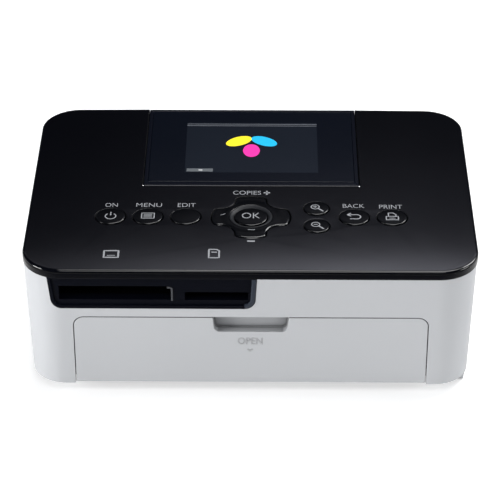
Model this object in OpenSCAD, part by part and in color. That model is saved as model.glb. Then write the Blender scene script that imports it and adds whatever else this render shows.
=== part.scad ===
// Compact photo printer with a tilting screen, an ink door on the right and a paper door in front.
// Frame: X to the right, Y to the back, Z up, the floor at Z = 0, the middle of the body at X = Y = 0.

/* [Body] */
// width over the black top cover
body_w = 178; // [170:1:190]
// depth over the black top cover
body_d = 127; // [120:1:135]
// height of the flat top above the table
top_z = 60; // [58:0.5:64]
// plan radius of the four corners
corner_r = 16; // [14:0.5:18]
// height of the black edge band
lip_h = 3.85; // [3.8:0.05:4.2]
// how far the white walls lean in from top to bottom
draft = 1.7; // [0:0.1:2.4]
// how far the white walls stand inside the black band
lip_step = 0.3; // [0.1:0.1:0.8]
// bottom edge of the white walls above the table
skirt_z = 5.3; // [4.5:0.1:6]
// thickness of the moulded walls
wall = 2; // [1.8:0.1:2.2]

/* [Screen] */
// width of the tilting screen unit
screen_w = 88; // [84:1:92]
// width of the visible picture
picture_w = 54.9; // [50:0.1:56]
// height of the visible picture
picture_d = 41.15; // [38:0.05:43]
// middle of the picture behind the middle of the body
picture_y = 31.4; // [30:0.1:32]

/* [Keys] */
// diameter of the large round keys
key_d = 11.8; // [11:0.1:12.4]
// diameter of the two zoom keys
zoom_d = 10; // [9:0.1:10.4]
// diameter of the middle key
ok_d = 13.1; // [12.5:0.1:13.3]
// size of the cross key from tip to tip
pad_d = 31.6; // [30:0.1:32]
// width of one arm of the cross key
pad_arm = 12.3; // [11.8:0.1:12.8]
// line through the middle of the key row
key_y = -24; // [-26:0.1:-22]
// how far a key goes down
key_travel = 0.5; // [0.4:0.05:0.6]

/* [Doors] */
// width of the white pillar at each side of the paper door
pillar_w = 19.75; // [19:0.25:21]
// top edge of the paper door above the table
door_top = 37.7; // [36:0.1:39]
// bottom edge of the paper door above the table
door_low = 6; // [5.8:0.1:7]
// seam round the doors
seam = 0.3; // [0.25:0.05:0.5]
// white wall between each end of the ink door and the rounding of the corner
ink_door_margin = 0.8; // [0.5:0.1:1.5]
// top edge of the ink door above the table
ink_door_top = 50; // [48:0.5:51]

/* [Card slots] */
// width of the wide card slot
wide_slot_w = 43.5; // [43.2:0.1:44]
// height of the wide card slot
wide_slot_h = 6.4; // [6:0.1:6.8]
// width of the small card slot
small_slot_w = 24.6; // [24.3:0.1:25]
// height of the small card slot
small_slot_h = 3.8; // [3:0.1:3.9]

/* [Paper drive] */
// tooth size of the gears
tooth_module = 0.6; // [0.6:0.05:0.6]
// diameter of the platen roller
platen_d = 12; // [11:0.1:12]
// diameter of the feed roller
feed_d = 7; // [6:0.1:7]
// diameter of the pickup tyres
pickup_d = 14; // [13:0.1:14]
// radial clearance of a turning shaft in its bore
shaft_gap = 0.06; // [0.03:0.01:0.1]
// play between the gear teeth at the pitch circle
backlash = 0.16; // [0.1:0.02:0.24]

/* [Hidden] */
$fn = 48;
eps = 0.01;

// gaps between pieces
touch = 0.05; // two fixed pieces laid against each other
seat = 0.1; // a fixed piece and the seat under it
clear = 0.3; // a moving piece and its neighbour

// colours
white = [0.86, 0.86, 0.87];
black = [0.06, 0.06, 0.07];
navy = [0.07, 0.08, 0.12];
grey = [0.45, 0.46, 0.48];
steel = [0.7, 0.7, 0.72];
green = [0.1, 0.35, 0.2];
rubber = [0.12, 0.12, 0.12];
amber = [0.8, 0.55, 0.2];

// plan of the body: the four arc centres stay put at every height
arc_x = body_w / 2 - corner_r;
arc_y = body_d / 2 - corner_r;
lip_z = top_z - lip_h;
shell_top_r = corner_r - lip_step;
draft_slope = draft / (lip_z - skirt_z);
function shell_r(z) = shell_top_r - (lip_z - z) * draft_slope;
top_wall = 2;
roof_z = top_z - top_wall;
edge_round = 0.8;
rib_h = 1.8;
rib_t = 1.2;

// base
plinth_z = 2;
base_top = skirt_z + wall;
floor_z = base_top + seat;
plinth_front = -arc_y - 3.5;
plinth_back = arc_y + 3.5;
plinth_left = -arc_x - 5;
plinth_right = arc_x + 3.4;
foot_r = 5;
boss_off = 6.6;
boss_r = 3.4;
boss_top = 20;
screw_r = 1.3;
screw_head_r = 2.6;
screw_head_h = 1.6;

// screen unit
hinge_r = 1.7;
screen_axis = [hinge_r, top_z - hinge_r];
screen_rear = body_d / 2 - 0.3;
screen_box_rear = screen_rear - 5.2;
screen_low = top_z - 8.4;
screen_lid_low = lip_z + 0.25;
screen_half = screen_w / 2 - 0.1;
pocket_half = screen_w / 2 + 0.3;
pocket_low = screen_low - 1;
pocket_t = 1;
pocket_rear = screen_box_rear + 1.4;
pocket_wall = 1.2;
pin_r = 0.9;
window_t = 1.15;
window_rim = 1.6;
lcd_border = 3;
lcd_t = 3.6;

// keys: middle of each cap
power_at = [-55.9, key_y];
menu_at = [-41, key_y];
edit_at = [-25.9, key_y];
pad_at = [0.1, key_y];
zoom_x = 26.3;
zoom_step = 6.6;
zoom_in_at = [zoom_x, key_y + zoom_step];
zoom_out_at = [zoom_x, key_y - zoom_step];
back_at = [41.3, key_y];
print_at = [56.4, key_y];
big_keys = [power_at, menu_at, edit_at, back_at, print_at];
small_keys = [zoom_in_at, zoom_out_at];
key_gap = 0.35;
key_dome = 0.4;
key_rise = 0.1;
key_flange = 1.2;
key_flange_t = 1;

// cross key: arms with curved tips and round corners, joined by concave arcs that touch them
pad_half = pad_arm / 2;
tip_r = 13;
tip_at = pad_d / 2 - tip_r;
tip_corner = 2;
corner_y = pad_half - tip_corner;
corner_x = tip_at + sqrt((tip_r - tip_corner) * (tip_r - tip_corner) - corner_y * corner_y);
notch_r = min(6.3, corner_x - pad_half);
notch_at = pad_half + notch_r;
ring_r = 8.5;
ring_gap = 0.3;
pad_rise = 0.5;
pad_low = roof_z + 0.3;
gimbal_z = roof_z - 1.45;
gimbal_pin_r = 0.5;
gimbal_in = 9.5;
gimbal_out = 11.5;
gimbal_half = 0.7;
lug_in = 12.1;
lug_out = 13.5;

// key boards under the roof
web_low = roof_z - 3.4;
web_t = 0.4;
pad_h = 0.75;
cap_low = web_low + pad_h + key_travel + clear;
key_board_t = 1.6;
key_board_low = web_low - key_board_t;
key_board_half = print_at[0] + 7.6;
key_board_y = [-42, -6];
key_frame_t = 1.5;
hang_boss_r = 2;
hang_bosses = [[-18.5, -7.6], [18.5, -7.6], [-18.5, -40.4], [18.5, -40.4],
    [1 - key_board_half, -14], [key_board_half - 1, -14]];
hang_hole_gap = 0.3;
dome_r = 2.6;
dome_h = 0.3;

// card bezel in the front wall
bezel_low = 42;
bezel_corner = 4.2;
bezel_left = -arc_x - 4.55;
bezel_right = bezel_left + 79.65;
bezel_flare_l = 1.15;
bezel_flare_r = 0.65;
bezel_rim = 1.3;
bezel_sunk = 0.8;
bezel_t = 2.2;
wide_slot_x = bezel_left + 25.1;
wide_slot_z = 45.7;
small_slot_x = bezel_left + 64.55;
small_slot_z = 45.6;
funnel_t = 0.8;
reader_front = -arc_y - 10.1;

// paper door and bay
door_w = body_w - 2 * pillar_w;
door_x = 0.35;
door_t = 2;
door_corner = 4;
door_axis = [-arc_y - 9.5, 9];
door_pin_r = 1.2;
door_boss_r = 2.2;
recess_low = 30.9;
recess_half = 14.4;
recess_flare = 0.7;
recess_corner = 2.2;
recess_depth = 4;
bay_t = 1.5;
ear_gap = 0.5;
ear_t = 2.5;
ear_inset = 3.75;
bay_half = door_w / 2 - ear_inset - ear_t - ear_gap - bay_t;
bay_top = 36;
bay_floor_front = door_axis[0] + 3.6;
bay_roof_front = door_axis[0] + 2.5;
bay_stop_z = 20;

// ink door
ink_door_y = -0.5;
ink_door_l = 2 * (arc_y - ink_door_margin);
ink_door_low = 2.2;
ink_axis = [arc_x + 9.3, 7];
ink_pin_r = 1.1;
ink_boss_r = 2;
ink_ear_t = 2;
ink_ear_in = 0.3;
lug_t = 3;
lug_gap = 0.4;
lug_foot_z = 0.4;

// chassis plates
plate_x = bay_half - 3;
plate_t = 1;
plate_back = arc_y + 9.5;
plate_top = top_z - 11.4;
rear_slot_half = plate_x - 4;

// gear train, on the left of the left plate: positions follow from the teeth
feed_teeth = 30;
idler_teeth = 35;
pinion_teeth = 12;
takeup_teeth = 20;
pickup_idler_teeth = 40;
pickup_teeth = 30;
function pitch_r(n) = tooth_module * n / 2;
function mesh_at(at, na, nb, angle) =
    [at[0] + (pitch_r(na) + pitch_r(nb)) * cos(angle),
     at[1] + (pitch_r(na) + pitch_r(nb)) * sin(angle)];
function mesh_phase(phase, na, nb, angle) = angle + 180 + 180 / nb - (phase - angle) * na / nb;
train_z = 20.5;
feed_at = [arc_y + 2.5, train_z];
idler_at = mesh_at(feed_at, feed_teeth, idler_teeth, 180);
pinion_at = mesh_at(idler_at, idler_teeth, pinion_teeth, 180);
takeup_y = idler_at[0] + 5.5;
takeup_angle = acos((takeup_y - idler_at[0]) / (pitch_r(idler_teeth) + pitch_r(takeup_teeth)));
takeup_at = mesh_at(idler_at, idler_teeth, takeup_teeth, takeup_angle);
pickup_idler_angle = 167;
pickup_angle = 152.4;
pickup_idler_at = mesh_at(pinion_at, pinion_teeth, pickup_idler_teeth, pickup_idler_angle);
pickup_at = mesh_at(pickup_idler_at, pickup_idler_teeth, pickup_teeth, pickup_angle);
feed_phase = 0;
idler_phase = mesh_phase(feed_phase, feed_teeth, idler_teeth, 180);
pinion_phase = mesh_phase(idler_phase, idler_teeth, pinion_teeth, 180);
takeup_phase = mesh_phase(idler_phase, idler_teeth, takeup_teeth, takeup_angle);
pickup_idler_phase =
    mesh_phase(pinion_phase, pinion_teeth, pickup_idler_teeth, pickup_idler_angle);
pickup_phase = mesh_phase(pickup_idler_phase, pickup_idler_teeth, pickup_teeth, pickup_angle);
gear_w = 4;
gear_x = [-plate_x - plate_t - 1 - gear_w, -plate_x - plate_t - 1];
post_x = gear_x[0] - 0.6;
shaft_r = 2;
drive_r = 2.5;
drive_depth = 4;
pressure_angle = 20;

// rollers
platen_at = [pinion_at[0] + 4.1, 17.5];
roller_half = plate_x - 6;
platen_half = roller_half - 0.5;
paper_z = feed_at[1] + feed_d / 2;
rear_slot_z = [paper_z - 2.5, paper_z + 3];
plate_front = pickup_at[0] - 3.6;
bay_back = plate_front - clear;
bay_roof_back = pickup_at[0] - 10.1;
pinch_r = 3;
pinch_at = [feed_at[0], paper_z + 0.4 + pinch_r];
pinch_shaft_r = 1.5;
tyre_x = 16;
tyre_w = 12;

// ink cassette
supply_y = takeup_y - 31;
chamber_r = 10.4;
chamber_t = 1;
supply_at = [supply_y, takeup_at[1]];
case_left = 2 * clear - plate_x;
case_right = plate_x + 4;
case_end = case_right + 14;
case_disc = 1.4;
link_z = [paper_z, takeup_at[1] - chamber_r + chamber_t];
core_r = 4.5;
supply_roll_r = 8;
takeup_roll_r = 6;
journal_r = 3.6;
ribbon_half = plate_x - 8;
film_t = 0.2;
film_z = paper_z + 0.9;
film_y = [supply_y + 10, takeup_y - 10];

// print head
head_axis = [feed_at[0] + 4, plate_top - 4.6];
head_half = roller_half - 0.5;
pop_out = 2.5;
link_in = head_half + clear + pop_out;
head_low = paper_z + 3;
head_strip_t = 2;
head_y = [platen_at[0] - 3, platen_at[0] + 3];
arm_low = plate_top - 1;
arm_t = 1.2;
arm_half = plate_x - 2.2;
arm_front = head_y[0] - 3.5;
arm_ear = 1.2;
arm_pin_r = 1.5;

// motor and its plate
gear_plate_t = 1;
gear_plate_x = gear_x[0] - 1.2 - gear_plate_t;
motor_r = 11;
motor_left = wall + 1.3 - arc_x - shell_r(pinion_at[1]);
motor_nose_r = 3.5;
motor_shaft_r = 1;
gear_posts = [for (d = [[-8.4, -10.9], [1.6, 13.5], [5.1, -10.9]]) pinion_at + d];
gear_post_r = 2;

// electronics
board_t = 1.6;
board_low = 43.1;
board_x = [-bay_half - 15, bay_half - 5];
board_y = [-arc_y - 7.5, bay_roof_back - 0.6];
board_posts = [
    for (x = [3 - bay_half, bay_half - 11], y = [board_y[0] + 5, board_y[1] - 3.5])
        [x, y]
];
board_post_r = 2.5;
cage_t = 0.5;
cage_low = board_low + board_t + touch;
wide_cage_top = key_board_low - 0.7;
wide_cage_back = -18;
small_cage_top = key_board_low - key_frame_t - 0.6;
small_cage_back = -27;
jack_x = -arc_x + 4;
jack_z = 15.1;
jack_w = 9;
jack_h = 11;
jack_nose_r = 3.9;
jack_pin_r = 0.8;
jack_bore_r = 2.8;
vents = 6;
vent_x = -arc_x + 5;
vent_w = 2;
vent_pitch = 4;
vent_z = [32, 44];
jack_d = 10;
jack_bore_d = 8;
power_back = arc_y + 11;
power_board_x = [jack_x - 6.5, jack_x + 8];
power_board_d = 24.5;
capacitor_at = [jack_x - 1, power_back - 18.5];
capacitor_r = 4;
capacitor_h = 13;

// plates and frames
key_frame_x = [-20.5, 20.5];
key_frame_y = [-42, -6];
lug_half = 1.5;
lug_rise = 0.95;
lug_hole_gap = 0.4;
lug_hole_half = 2;
tie_h = 8.6;
tie_flange = 11.5;
tie_inset = 1.5;
gear_plate_y = [pinion_at[0] - 13.4, pinion_at[0] + 12.6];
gear_plate_top = pinion_at[1] + 16.5;
guide_z = [paper_z - 2.4, paper_z - 1.6];
guide_gap = 1;
feed_guide_gap = 0.8;
guide_back = arc_y + 11.5;
window_ledge_t = 1.4;
rest_x = 30;
rest_half = 3;
rest_back = 8;
lever_pivot_l = 5.5;
chip_x = [12, 30];
chip_y = [-50, -34];
chip_t = 2;
memory_x = [36, 46];
memory_y = [-48, -36];
memory_t = 1.5;
screen_pin_l = 4;
screen_rib_x = 20;
screen_rib_half = 1;

// a box given by its two ends on each axis
module block(x, y, z) {
    translate([x[0], y[0], z[0]])
        cube([x[1] - x[0], y[1] - y[0], z[1] - z[0]]);
}

// a profile drawn in Y and Z, pulled along X
module along_x(x0, x1) {
    translate([x0, 0, 0])
        rotate([90, 0, 90])
            linear_extrude(x1 - x0)
                children();
}

// a profile drawn in X and Z, pulled along Y
module along_y(y0, y1) {
    translate([0, y1, 0])
        rotate([90, 0, 0])
            linear_extrude(y1 - y0)
                children();
}

module rod_x(x0, x1, at, r) {
    along_x(x0, x1)
        translate(at)
            circle(r);
}

module rod_y(y0, y1, at, r) {
    along_y(y0, y1)
        translate(at)
            circle(r);
}

module rod_z(z0, z1, at, r) {
    translate([at[0], at[1], z0])
        cylinder(h = z1 - z0, r = r);
}

module rect(x, y) {
    translate([x[0], y[0]])
        square([x[1] - x[0], y[1] - y[0]]);
}

// a block with the plan of the body, whose corner radius runs from r0 to r1
module plan_block(r0, r1, z0, z1) {
    along_y(-arc_y, arc_y)
        polygon([[-arc_x - r0, z0], [arc_x + r0, z0], [arc_x + r1, z1], [-arc_x - r1, z1]]);
    along_x(-arc_x, arc_x)
        polygon([[-arc_y - r0, z0], [arc_y + r0, z0], [arc_y + r1, z1], [-arc_y - r1, z1]]);
    for (sx = [-1, 1], sy = [-1, 1])
        translate([sx * arc_x, sy * arc_y, z0])
            cylinder(h = z1 - z0, r1 = r0, r2 = r1, $fn = 96);
}

// the leaning outer skin of the body, moved in by a distance
module skin_block(inset, z0, z1) {
    plan_block(shell_r(z0) - inset, shell_r(z1) - inset, z0, z1);
}

// front pieces follow the leaning skin: a profile in X and Z cut out of it
module front_skin(thick, z0, z1) {
    intersection() {
        along_y(-body_d / 2 - 1, -arc_y)
            children();
        difference() {
            skin_block(0, z0, z1);
            skin_block(thick, z0 - 1, z1 + 1);
        }
    }
}

// outline of the paper door, grown by g
module door_outline(g, low) {
    x0 = door_x - door_w / 2 - g;
    x1 = door_x + door_w / 2 + g;
    top = door_top + g;
    r = door_corner + g;
    rect([x0, x1], [low, top - r]);
    rect([x0 + r, x1 - r], [low, top]);
    for (x = [x0 + r, x1 - r])
        translate([x, top - r])
            circle(r);
}

// outline of the finger recess, grown by g
module recess_outline(g, top) {
    half = recess_half + g;
    r = recess_corner + g;
    low = recess_low - g;
    flare = half + recess_flare;
    knee = low + r;
    translate([door_x, 0]) {
        polygon([
            [-flare, top], [flare, top], [half, knee],
            [half - r, low], [r - half, low], [-half, knee]
        ]);
        for (x = [r - half, half - r])
            translate([x, knee])
                circle(r);
    }
}

// outline of the card bezel, grown by g
module bezel_outline(g, top) {
    x0 = bezel_left - g;
    x1 = bezel_right + g;
    r = bezel_corner + g;
    low = bezel_low - g;
    knee = low + r;
    polygon([
        [x0 - bezel_flare_l, top], [x1 + bezel_flare_r, top], [x1, knee],
        [x1 - r, low], [x0 + r, low], [x0, knee]
    ]);
    for (x = [x0 + r, x1 - r])
        translate([x, knee])
            circle(r);
}

module wide_slot(g) {
    rect([wide_slot_x - wide_slot_w / 2 - g, wide_slot_x + wide_slot_w / 2 + g],
         [wide_slot_z - g, wide_slot_z + wide_slot_h + g]);
}

module small_slot(g) {
    rect([small_slot_x - small_slot_w / 2 - g, small_slot_x + small_slot_w / 2 + g],
         [small_slot_z - g, small_slot_z + small_slot_h + g]);
}

// outline of the cross key, grown by g
module pad_outline(g) {
    tip_half = (tip_r + g) * corner_y / (tip_r - tip_corner);
    translate(pad_at) {
        difference() {
            square(2 * notch_at, center = true);
            for (sx = [-1, 1], sy = [-1, 1])
                translate([sx * notch_at, sy * notch_at])
                    circle(notch_r - g);
        }
        for (a = [0 : 90 : 270])
            rotate(a) {
                translate([notch_at - eps, -pad_half - g])
                    square([corner_x - notch_at + eps, pad_arm + 2 * g]);
                for (s = [-1, 1])
                    translate([corner_x, s * corner_y])
                        circle(tip_corner + g);
                intersection() {
                    translate([tip_at, 0])
                        circle(tip_r + g);
                    translate([0, -tip_half])
                        square([pad_d, 2 * tip_half]);
                }
            }
    }
}

// involute tooth outline: the flank point at radius rr, as an angle from the tooth middle
function involute(rb, rr) = sqrt(max(rr * rr / (rb * rb) - 1, 0));
function flank_angle(n, rr) =
    let (rb = pitch_r(n) * cos(pressure_angle),
         at_pitch = involute(rb, pitch_r(n)),
         here = involute(rb, rr),
         half_tooth = 90 / n - backlash / 2 / pitch_r(n) * 180 / PI / 2)
    half_tooth + (at_pitch * 180 / PI - atan(at_pitch)) - (here * 180 / PI - atan(here));
function gear_points(n) =
    let (root = pitch_r(n) - 1.25 * tooth_module,
         base = pitch_r(n) * cos(pressure_angle),
         tip = pitch_r(n) + 0.95 * tooth_module,
         low = max(root, base),
         radii = [root, low + eps, (low + tip) / 2, tip])
    [for (i = [0 : n - 1], s = [-1, 1], k = [0 : 3])
        let (rr = s < 0 ? radii[k] : radii[3 - k],
             a = i * 360 / n + s * flank_angle(n, max(rr, low + eps)))
        [rr * cos(a), rr * sin(a)]];

module gear(n, at, phase, bore) {
    along_x(gear_x[0], gear_x[1])
        translate(at)
            difference() {
                rotate(phase)
                    polygon(gear_points(n));
                circle(bore);
            }
}

module body_shell() color(white) {
    difference() {
        skin_block(0, skirt_z, lip_z - touch);
        skin_block(wall, skirt_z - 1, lip_z + 1);
        along_y(-body_d / 2 - 1, -arc_y)
            door_outline(seam, skirt_z - 1);
        along_y(-body_d / 2 - 1, -arc_y)
            bezel_outline(touch, lip_z + 1);
        block([arc_x, body_w / 2 + 1], ink_span(seam), [skirt_z - 1, ink_door_top + seam]);
        block([-rear_slot_half, rear_slot_half], [arc_y, body_d / 2 + 1], rear_slot_z);
        rod_y(arc_y, body_d / 2 + 1, [jack_x, jack_z], jack_nose_r + clear);
        for (i = [0 : vents - 1])
            block([vent_x + i * vent_pitch, vent_x + vent_w + i * vent_pitch],
                [arc_y, body_d / 2 + 1], vent_z);
    }
    for (sx = [-1, 1], sy = [-1, 1])
        difference() {
            rod_z(floor_z, boss_top, [sx * (arc_x + boss_off), sy * (arc_y + boss_off)], boss_r);
            rod_z(floor_z - 1, boss_top - wall,
                [sx * (arc_x + boss_off), sy * (arc_y + boss_off)], screw_r);
        }
}

// the ink door's span along the body, grown by g
function ink_span(g) =
    [ink_door_y - ink_door_l / 2 - g, ink_door_y + ink_door_l / 2 + g];

// places of the two lugs that carry the ink door
function lug_spans() = [
    [ink_span(lug_gap)[0] - lug_t, ink_span(lug_gap)[0]],
    [ink_span(lug_gap)[1], ink_span(lug_gap)[1] + lug_t]
];

module base_plate() color(grey) {
    difference() {
        union() {
            plan_block(shell_r(skirt_z) - wall - clear, shell_r(skirt_z) - wall - clear,
                skirt_z, base_top);
            block([plinth_left, plinth_right], [plinth_front, plinth_back], [plinth_z, base_top]);
        }
        block([-door_w / 2 - 1, door_w / 2 + 1.5], [-body_d / 2, plinth_front],
            [skirt_z - 1, base_top + 1]);
        block([plinth_right, body_w / 2], ink_span(lug_gap + lug_t), [skirt_z - 1, base_top + 1]);
        for (x = [[plinth_left + wall, -plate_x - 3], [-plate_x + 2, -1.5],
                  [1.5, plate_x - 2], [plate_x + 3, plinth_right - wall]])
            block(x, [plinth_front + wall, plinth_back - wall], [plinth_z + wall, base_top + 1]);
        for (sx = [-1, 1], sy = [-1, 1])
            rod_z(plinth_z - 1, base_top + 1,
                [sx * (arc_x + boss_off), sy * (arc_y + boss_off)], screw_r + touch);
    }
    for (span = lug_spans())
        difference() {
            along_y(span[0], span[1]) {
                polygon([
                    [plinth_right - 3, skirt_z], [plinth_right - 3, plinth_z], [arc_x + 6, lug_foot_z],
                    [arc_x + 12.6, lug_foot_z], [arc_x + 13.2, skirt_z - touch],
                    [arc_x + 11, skirt_z - touch], [ink_axis[0] + ink_boss_r, ink_axis[1]],
                    [ink_axis[0] - ink_boss_r, ink_axis[1]], [plinth_right - 3, ink_axis[1]]
                ]);
                translate(ink_axis)
                    circle(ink_boss_r);
            }
            rod_y(span[0] - 1, span[1] + 1, ink_axis, ink_pin_r + shaft_gap);
        }
}

module rubber_feet() color(rubber) {
    for (x = [plinth_left + 9, plinth_right - 9], y = [plinth_front + 9, plinth_back - 9])
        rod_z(0, plinth_z - touch, [x, y], foot_r);
}

module case_screws() color(steel) {
    for (sx = [-1, 1], sy = [-1, 1])
        difference() {
            union() {
                rod_z(skirt_z - screw_head_h - touch, skirt_z - touch,
                    [sx * (arc_x + boss_off), sy * (arc_y + boss_off)], screw_head_r);
                rod_z(skirt_z - touch - eps, boss_top - wall - 2,
                    [sx * (arc_x + boss_off), sy * (arc_y + boss_off)], screw_r - touch);
            }
            rod_z(skirt_z - screw_head_h - 1, skirt_z - screw_head_h / 2,
                [sx * (arc_x + boss_off), sy * (arc_y + boss_off)], screw_r / 2);
        }
}

module top_cover() color(black) {
    rib_r = shell_r(lip_z) - wall - seat - draft_slope * rib_h;
    difference() {
        union() {
            difference() {
                union() {
                    plan_block(corner_r, corner_r, lip_z, top_z - edge_round);
                    plan_block(corner_r, corner_r - edge_round, top_z - edge_round, top_z);
                    plan_block(rib_r, rib_r, lip_z - rib_h, lip_z + eps);
                }
                plan_block(rib_r - rib_t, rib_r - rib_t, lip_z - rib_h - 1, roof_z);
            }
            block([-pocket_half - bay_t, pocket_half + bay_t], [-bay_t - clear, pocket_rear + pocket_wall],
                [pocket_low - pocket_t, roof_z + eps]);
            for (p = hang_bosses)
                rod_z(web_low + touch, roof_z + eps, p, hang_boss_r);
        }
        block([-pocket_half, pocket_half], [-clear, pocket_rear], [pocket_low, top_z + 1]);
        block([-pocket_half, pocket_half], [pocket_rear - 1, body_d / 2 + 1],
            [screen_lid_low - clear, top_z + 1]);
        for (k = big_keys)
            rod_z(roof_z - 1, top_z + 1, k, key_d / 2 + key_gap);
        for (k = small_keys)
            rod_z(roof_z - 1, top_z + 1, k, zoom_d / 2 + key_gap);
        translate([0, 0, roof_z - 1])
            linear_extrude(top_wall + 2)
                pad_outline(key_gap);
        rod_x(-pocket_half - bay_t - 1, pocket_half + bay_t + 1, screen_axis, pin_r + shaft_gap);
        block([bezel_left - bezel_flare_l - 1, bezel_right + bezel_flare_r + 1], [-body_d / 2, -arc_y],
            [lip_z - rib_h - 1, lip_z]);
    }
    for (x = [-rest_x, rest_x])
        block([x - rest_half, x + rest_half], [pocket_rear - rest_back, pocket_rear - rest_back / 2],
            [pocket_low - eps, screen_low - clear]);
}

module card_bezel() color(navy) {
    top = lip_z - touch;
    difference() {
        union() {
            front_skin(bezel_t, bezel_low - 1, top)
                bezel_outline(0, top + 1);
            along_y(-body_d / 2 + bezel_t, reader_front - touch) {
                wide_slot(funnel_t);
                small_slot(funnel_t);
            }
        }
        difference() {
            along_y(-body_d / 2 - 1, -arc_y)
                bezel_outline(-bezel_rim, top - 0.6);
            skin_block(bezel_sunk, bezel_low - 2, top + 1);
        }
        along_y(-body_d / 2 - 1, -arc_y) {
            wide_slot(0);
            small_slot(0);
        }
    }
}

module screen_housing() color(black) {
    difference() {
        along_x(-screen_half, screen_half) {
            translate(screen_axis)
                circle(hinge_r);
            polygon([
                [0, screen_axis[1]], [0, screen_low], [screen_box_rear, screen_low],
                [screen_box_rear, screen_lid_low], [screen_rear, screen_lid_low],
                [screen_rear, top_z], [hinge_r, top_z], [hinge_r, screen_axis[1]]
            ]);
        }
        window_space(0);
        block([-screen_half + wall, screen_half - wall], [hinge_r * 2 + wall, screen_box_rear - wall],
            [screen_low + wall, top_z - window_t - window_ledge_t]);
        block([-picture_w / 2 - lcd_border - touch, picture_w / 2 + lcd_border + touch],
            [picture_y - picture_d / 2 - lcd_border - touch,
             picture_y + picture_d / 2 + lcd_border + touch],
            [screen_low + wall, top_z]);
        for (s = [-1, 1])
            rod_x(s > 0 ? screen_half - screen_pin_l : -screen_half - 1,
                s > 0 ? screen_half + 1 : screen_pin_l - screen_half,
                screen_axis, pin_r + eps * 2);
    }
    for (x = [-screen_rib_x, screen_rib_x])
        block([x - screen_rib_half, x + screen_rib_half],
            [picture_y - picture_d / 2, picture_y + picture_d / 2],
            [screen_low + wall - eps, top_z - window_t - seat - lcd_t - seat]);
}

// the recess of the screen window, shrunk by g at its edges
module window_space(g) {
    block([-screen_half + window_rim + g, screen_half - window_rim - g],
        [hinge_r * 2 + g, screen_rear - window_rim - g], [top_z - window_t, top_z + 1]);
}

module screen_window() color(navy) {
    intersection() {
        window_space(touch * 2);
        block([-screen_w, screen_w], [-1, body_d], [top_z - window_t + eps, top_z - touch]);
    }
}

module lcd_module() color(steel) {
    top = top_z - window_t - seat;
    block([-picture_w / 2 - lcd_border, picture_w / 2 + lcd_border],
        [picture_y - picture_d / 2 - lcd_border, picture_y + picture_d / 2 + lcd_border],
        [top - lcd_t, top - 0.3]);
    block([-picture_w / 2, picture_w / 2],
        [picture_y - picture_d / 2, picture_y + picture_d / 2], [top - lcd_t, top]);
}

module screen_hinge_pins() color(steel) {
    for (s = [-1, 1])
        rod_x(s > 0 ? screen_half - 3.9 : -pocket_half - bay_t + 0.2,
            s > 0 ? pocket_half + bay_t - 0.2 : 3.9 - screen_half, screen_axis, pin_r);
}

// a round key cap with a slight dome and a flange that stops under the roof
module key_cap(at, d, rise, flange) {
    r = d / 2;
    top = top_z + rise + key_dome;
    ball = (r * r + key_dome * key_dome) / (2 * key_dome);
    intersection() {
        rod_z(cap_low, top + 1, at, r);
        translate([at[0], at[1], top - ball])
            sphere(ball, $fn = 96);
    }
    rod_z(roof_z - 0.1 - key_flange_t, roof_z - 0.1, at, r + flange);
}

module power_button() color(black) key_cap(power_at, key_d, key_rise, key_flange);

module menu_button() color(black) key_cap(menu_at, key_d, key_rise, key_flange);

module edit_button() color(black) key_cap(edit_at, key_d, key_rise, key_flange);

module zoom_in_button() color(black) key_cap(zoom_in_at, zoom_d, key_rise, key_flange);

module zoom_out_button() color(black) key_cap(zoom_out_at, zoom_d, key_rise, key_flange);

module back_button() color(black) key_cap(back_at, key_d, key_rise, key_flange);

module print_button() color(black) key_cap(print_at, key_d, key_rise, key_flange);

module ok_button() color(black) {
    r = ok_d / 2;
    top = top_z + key_dome;
    ball = (r * r + key_dome * key_dome) / (2 * key_dome);
    intersection() {
        rod_z(cap_low, top + 1, pad_at, r);
        translate([pad_at[0], pad_at[1], top - ball])
            sphere(ball, $fn = 96);
    }
    rod_z(cap_low, cap_low + 0.6, pad_at, r + 0.9);
}

module ok_ring() color(grey) {
    difference() {
        rod_z(pad_low - 0.3, top_z + pad_rise, pad_at, ring_r);
        rod_z(pad_low - 1, top_z + 1, pad_at, ok_d / 2 + ring_gap);
    }
}

module nav_pad() color(black) {
    difference() {
        translate([0, 0, pad_low])
            linear_extrude(top_z + pad_rise - pad_low - 0.1)
                pad_outline(0);
        rod_z(pad_low - 1, top_z + 1, pad_at, ring_r + touch);
    }
    for (s = [-1, 1]) {
        y0 = pad_at[1] + (s > 0 ? lug_in : -lug_out);
        block([pad_at[0] - 1.5, pad_at[0] + 1.5], [y0, y0 + lug_out - lug_in],
            [gimbal_z - gimbal_half, pad_low + eps]);
        rod_y(pad_at[1] + (s > 0 ? gimbal_in + 0.5 : -lug_in - eps),
            pad_at[1] + (s > 0 ? lug_in + eps : -gimbal_in - 0.5), [pad_at[0], gimbal_z], gimbal_pin_r);
    }
}

module nav_pivot_ring() color(grey) {
    difference() {
        rod_z(gimbal_z - gimbal_half, gimbal_z + gimbal_half, pad_at, gimbal_out);
        rod_z(gimbal_z - 1, gimbal_z + 1, pad_at, gimbal_in);
        rod_y(pad_at[1] - gimbal_out - 1, pad_at[1] + gimbal_out + 1, [pad_at[0], gimbal_z],
            gimbal_pin_r + shaft_gap);
    }
    for (s = [-1, 1])
        rod_x(pad_at[0] + (s > 0 ? gimbal_out - 0.5 : -lug_out + 0.2),
            pad_at[0] + (s > 0 ? lug_out - 0.2 : 0.5 - gimbal_out), [pad_at[1], gimbal_z],
            gimbal_pin_r);
}

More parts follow.
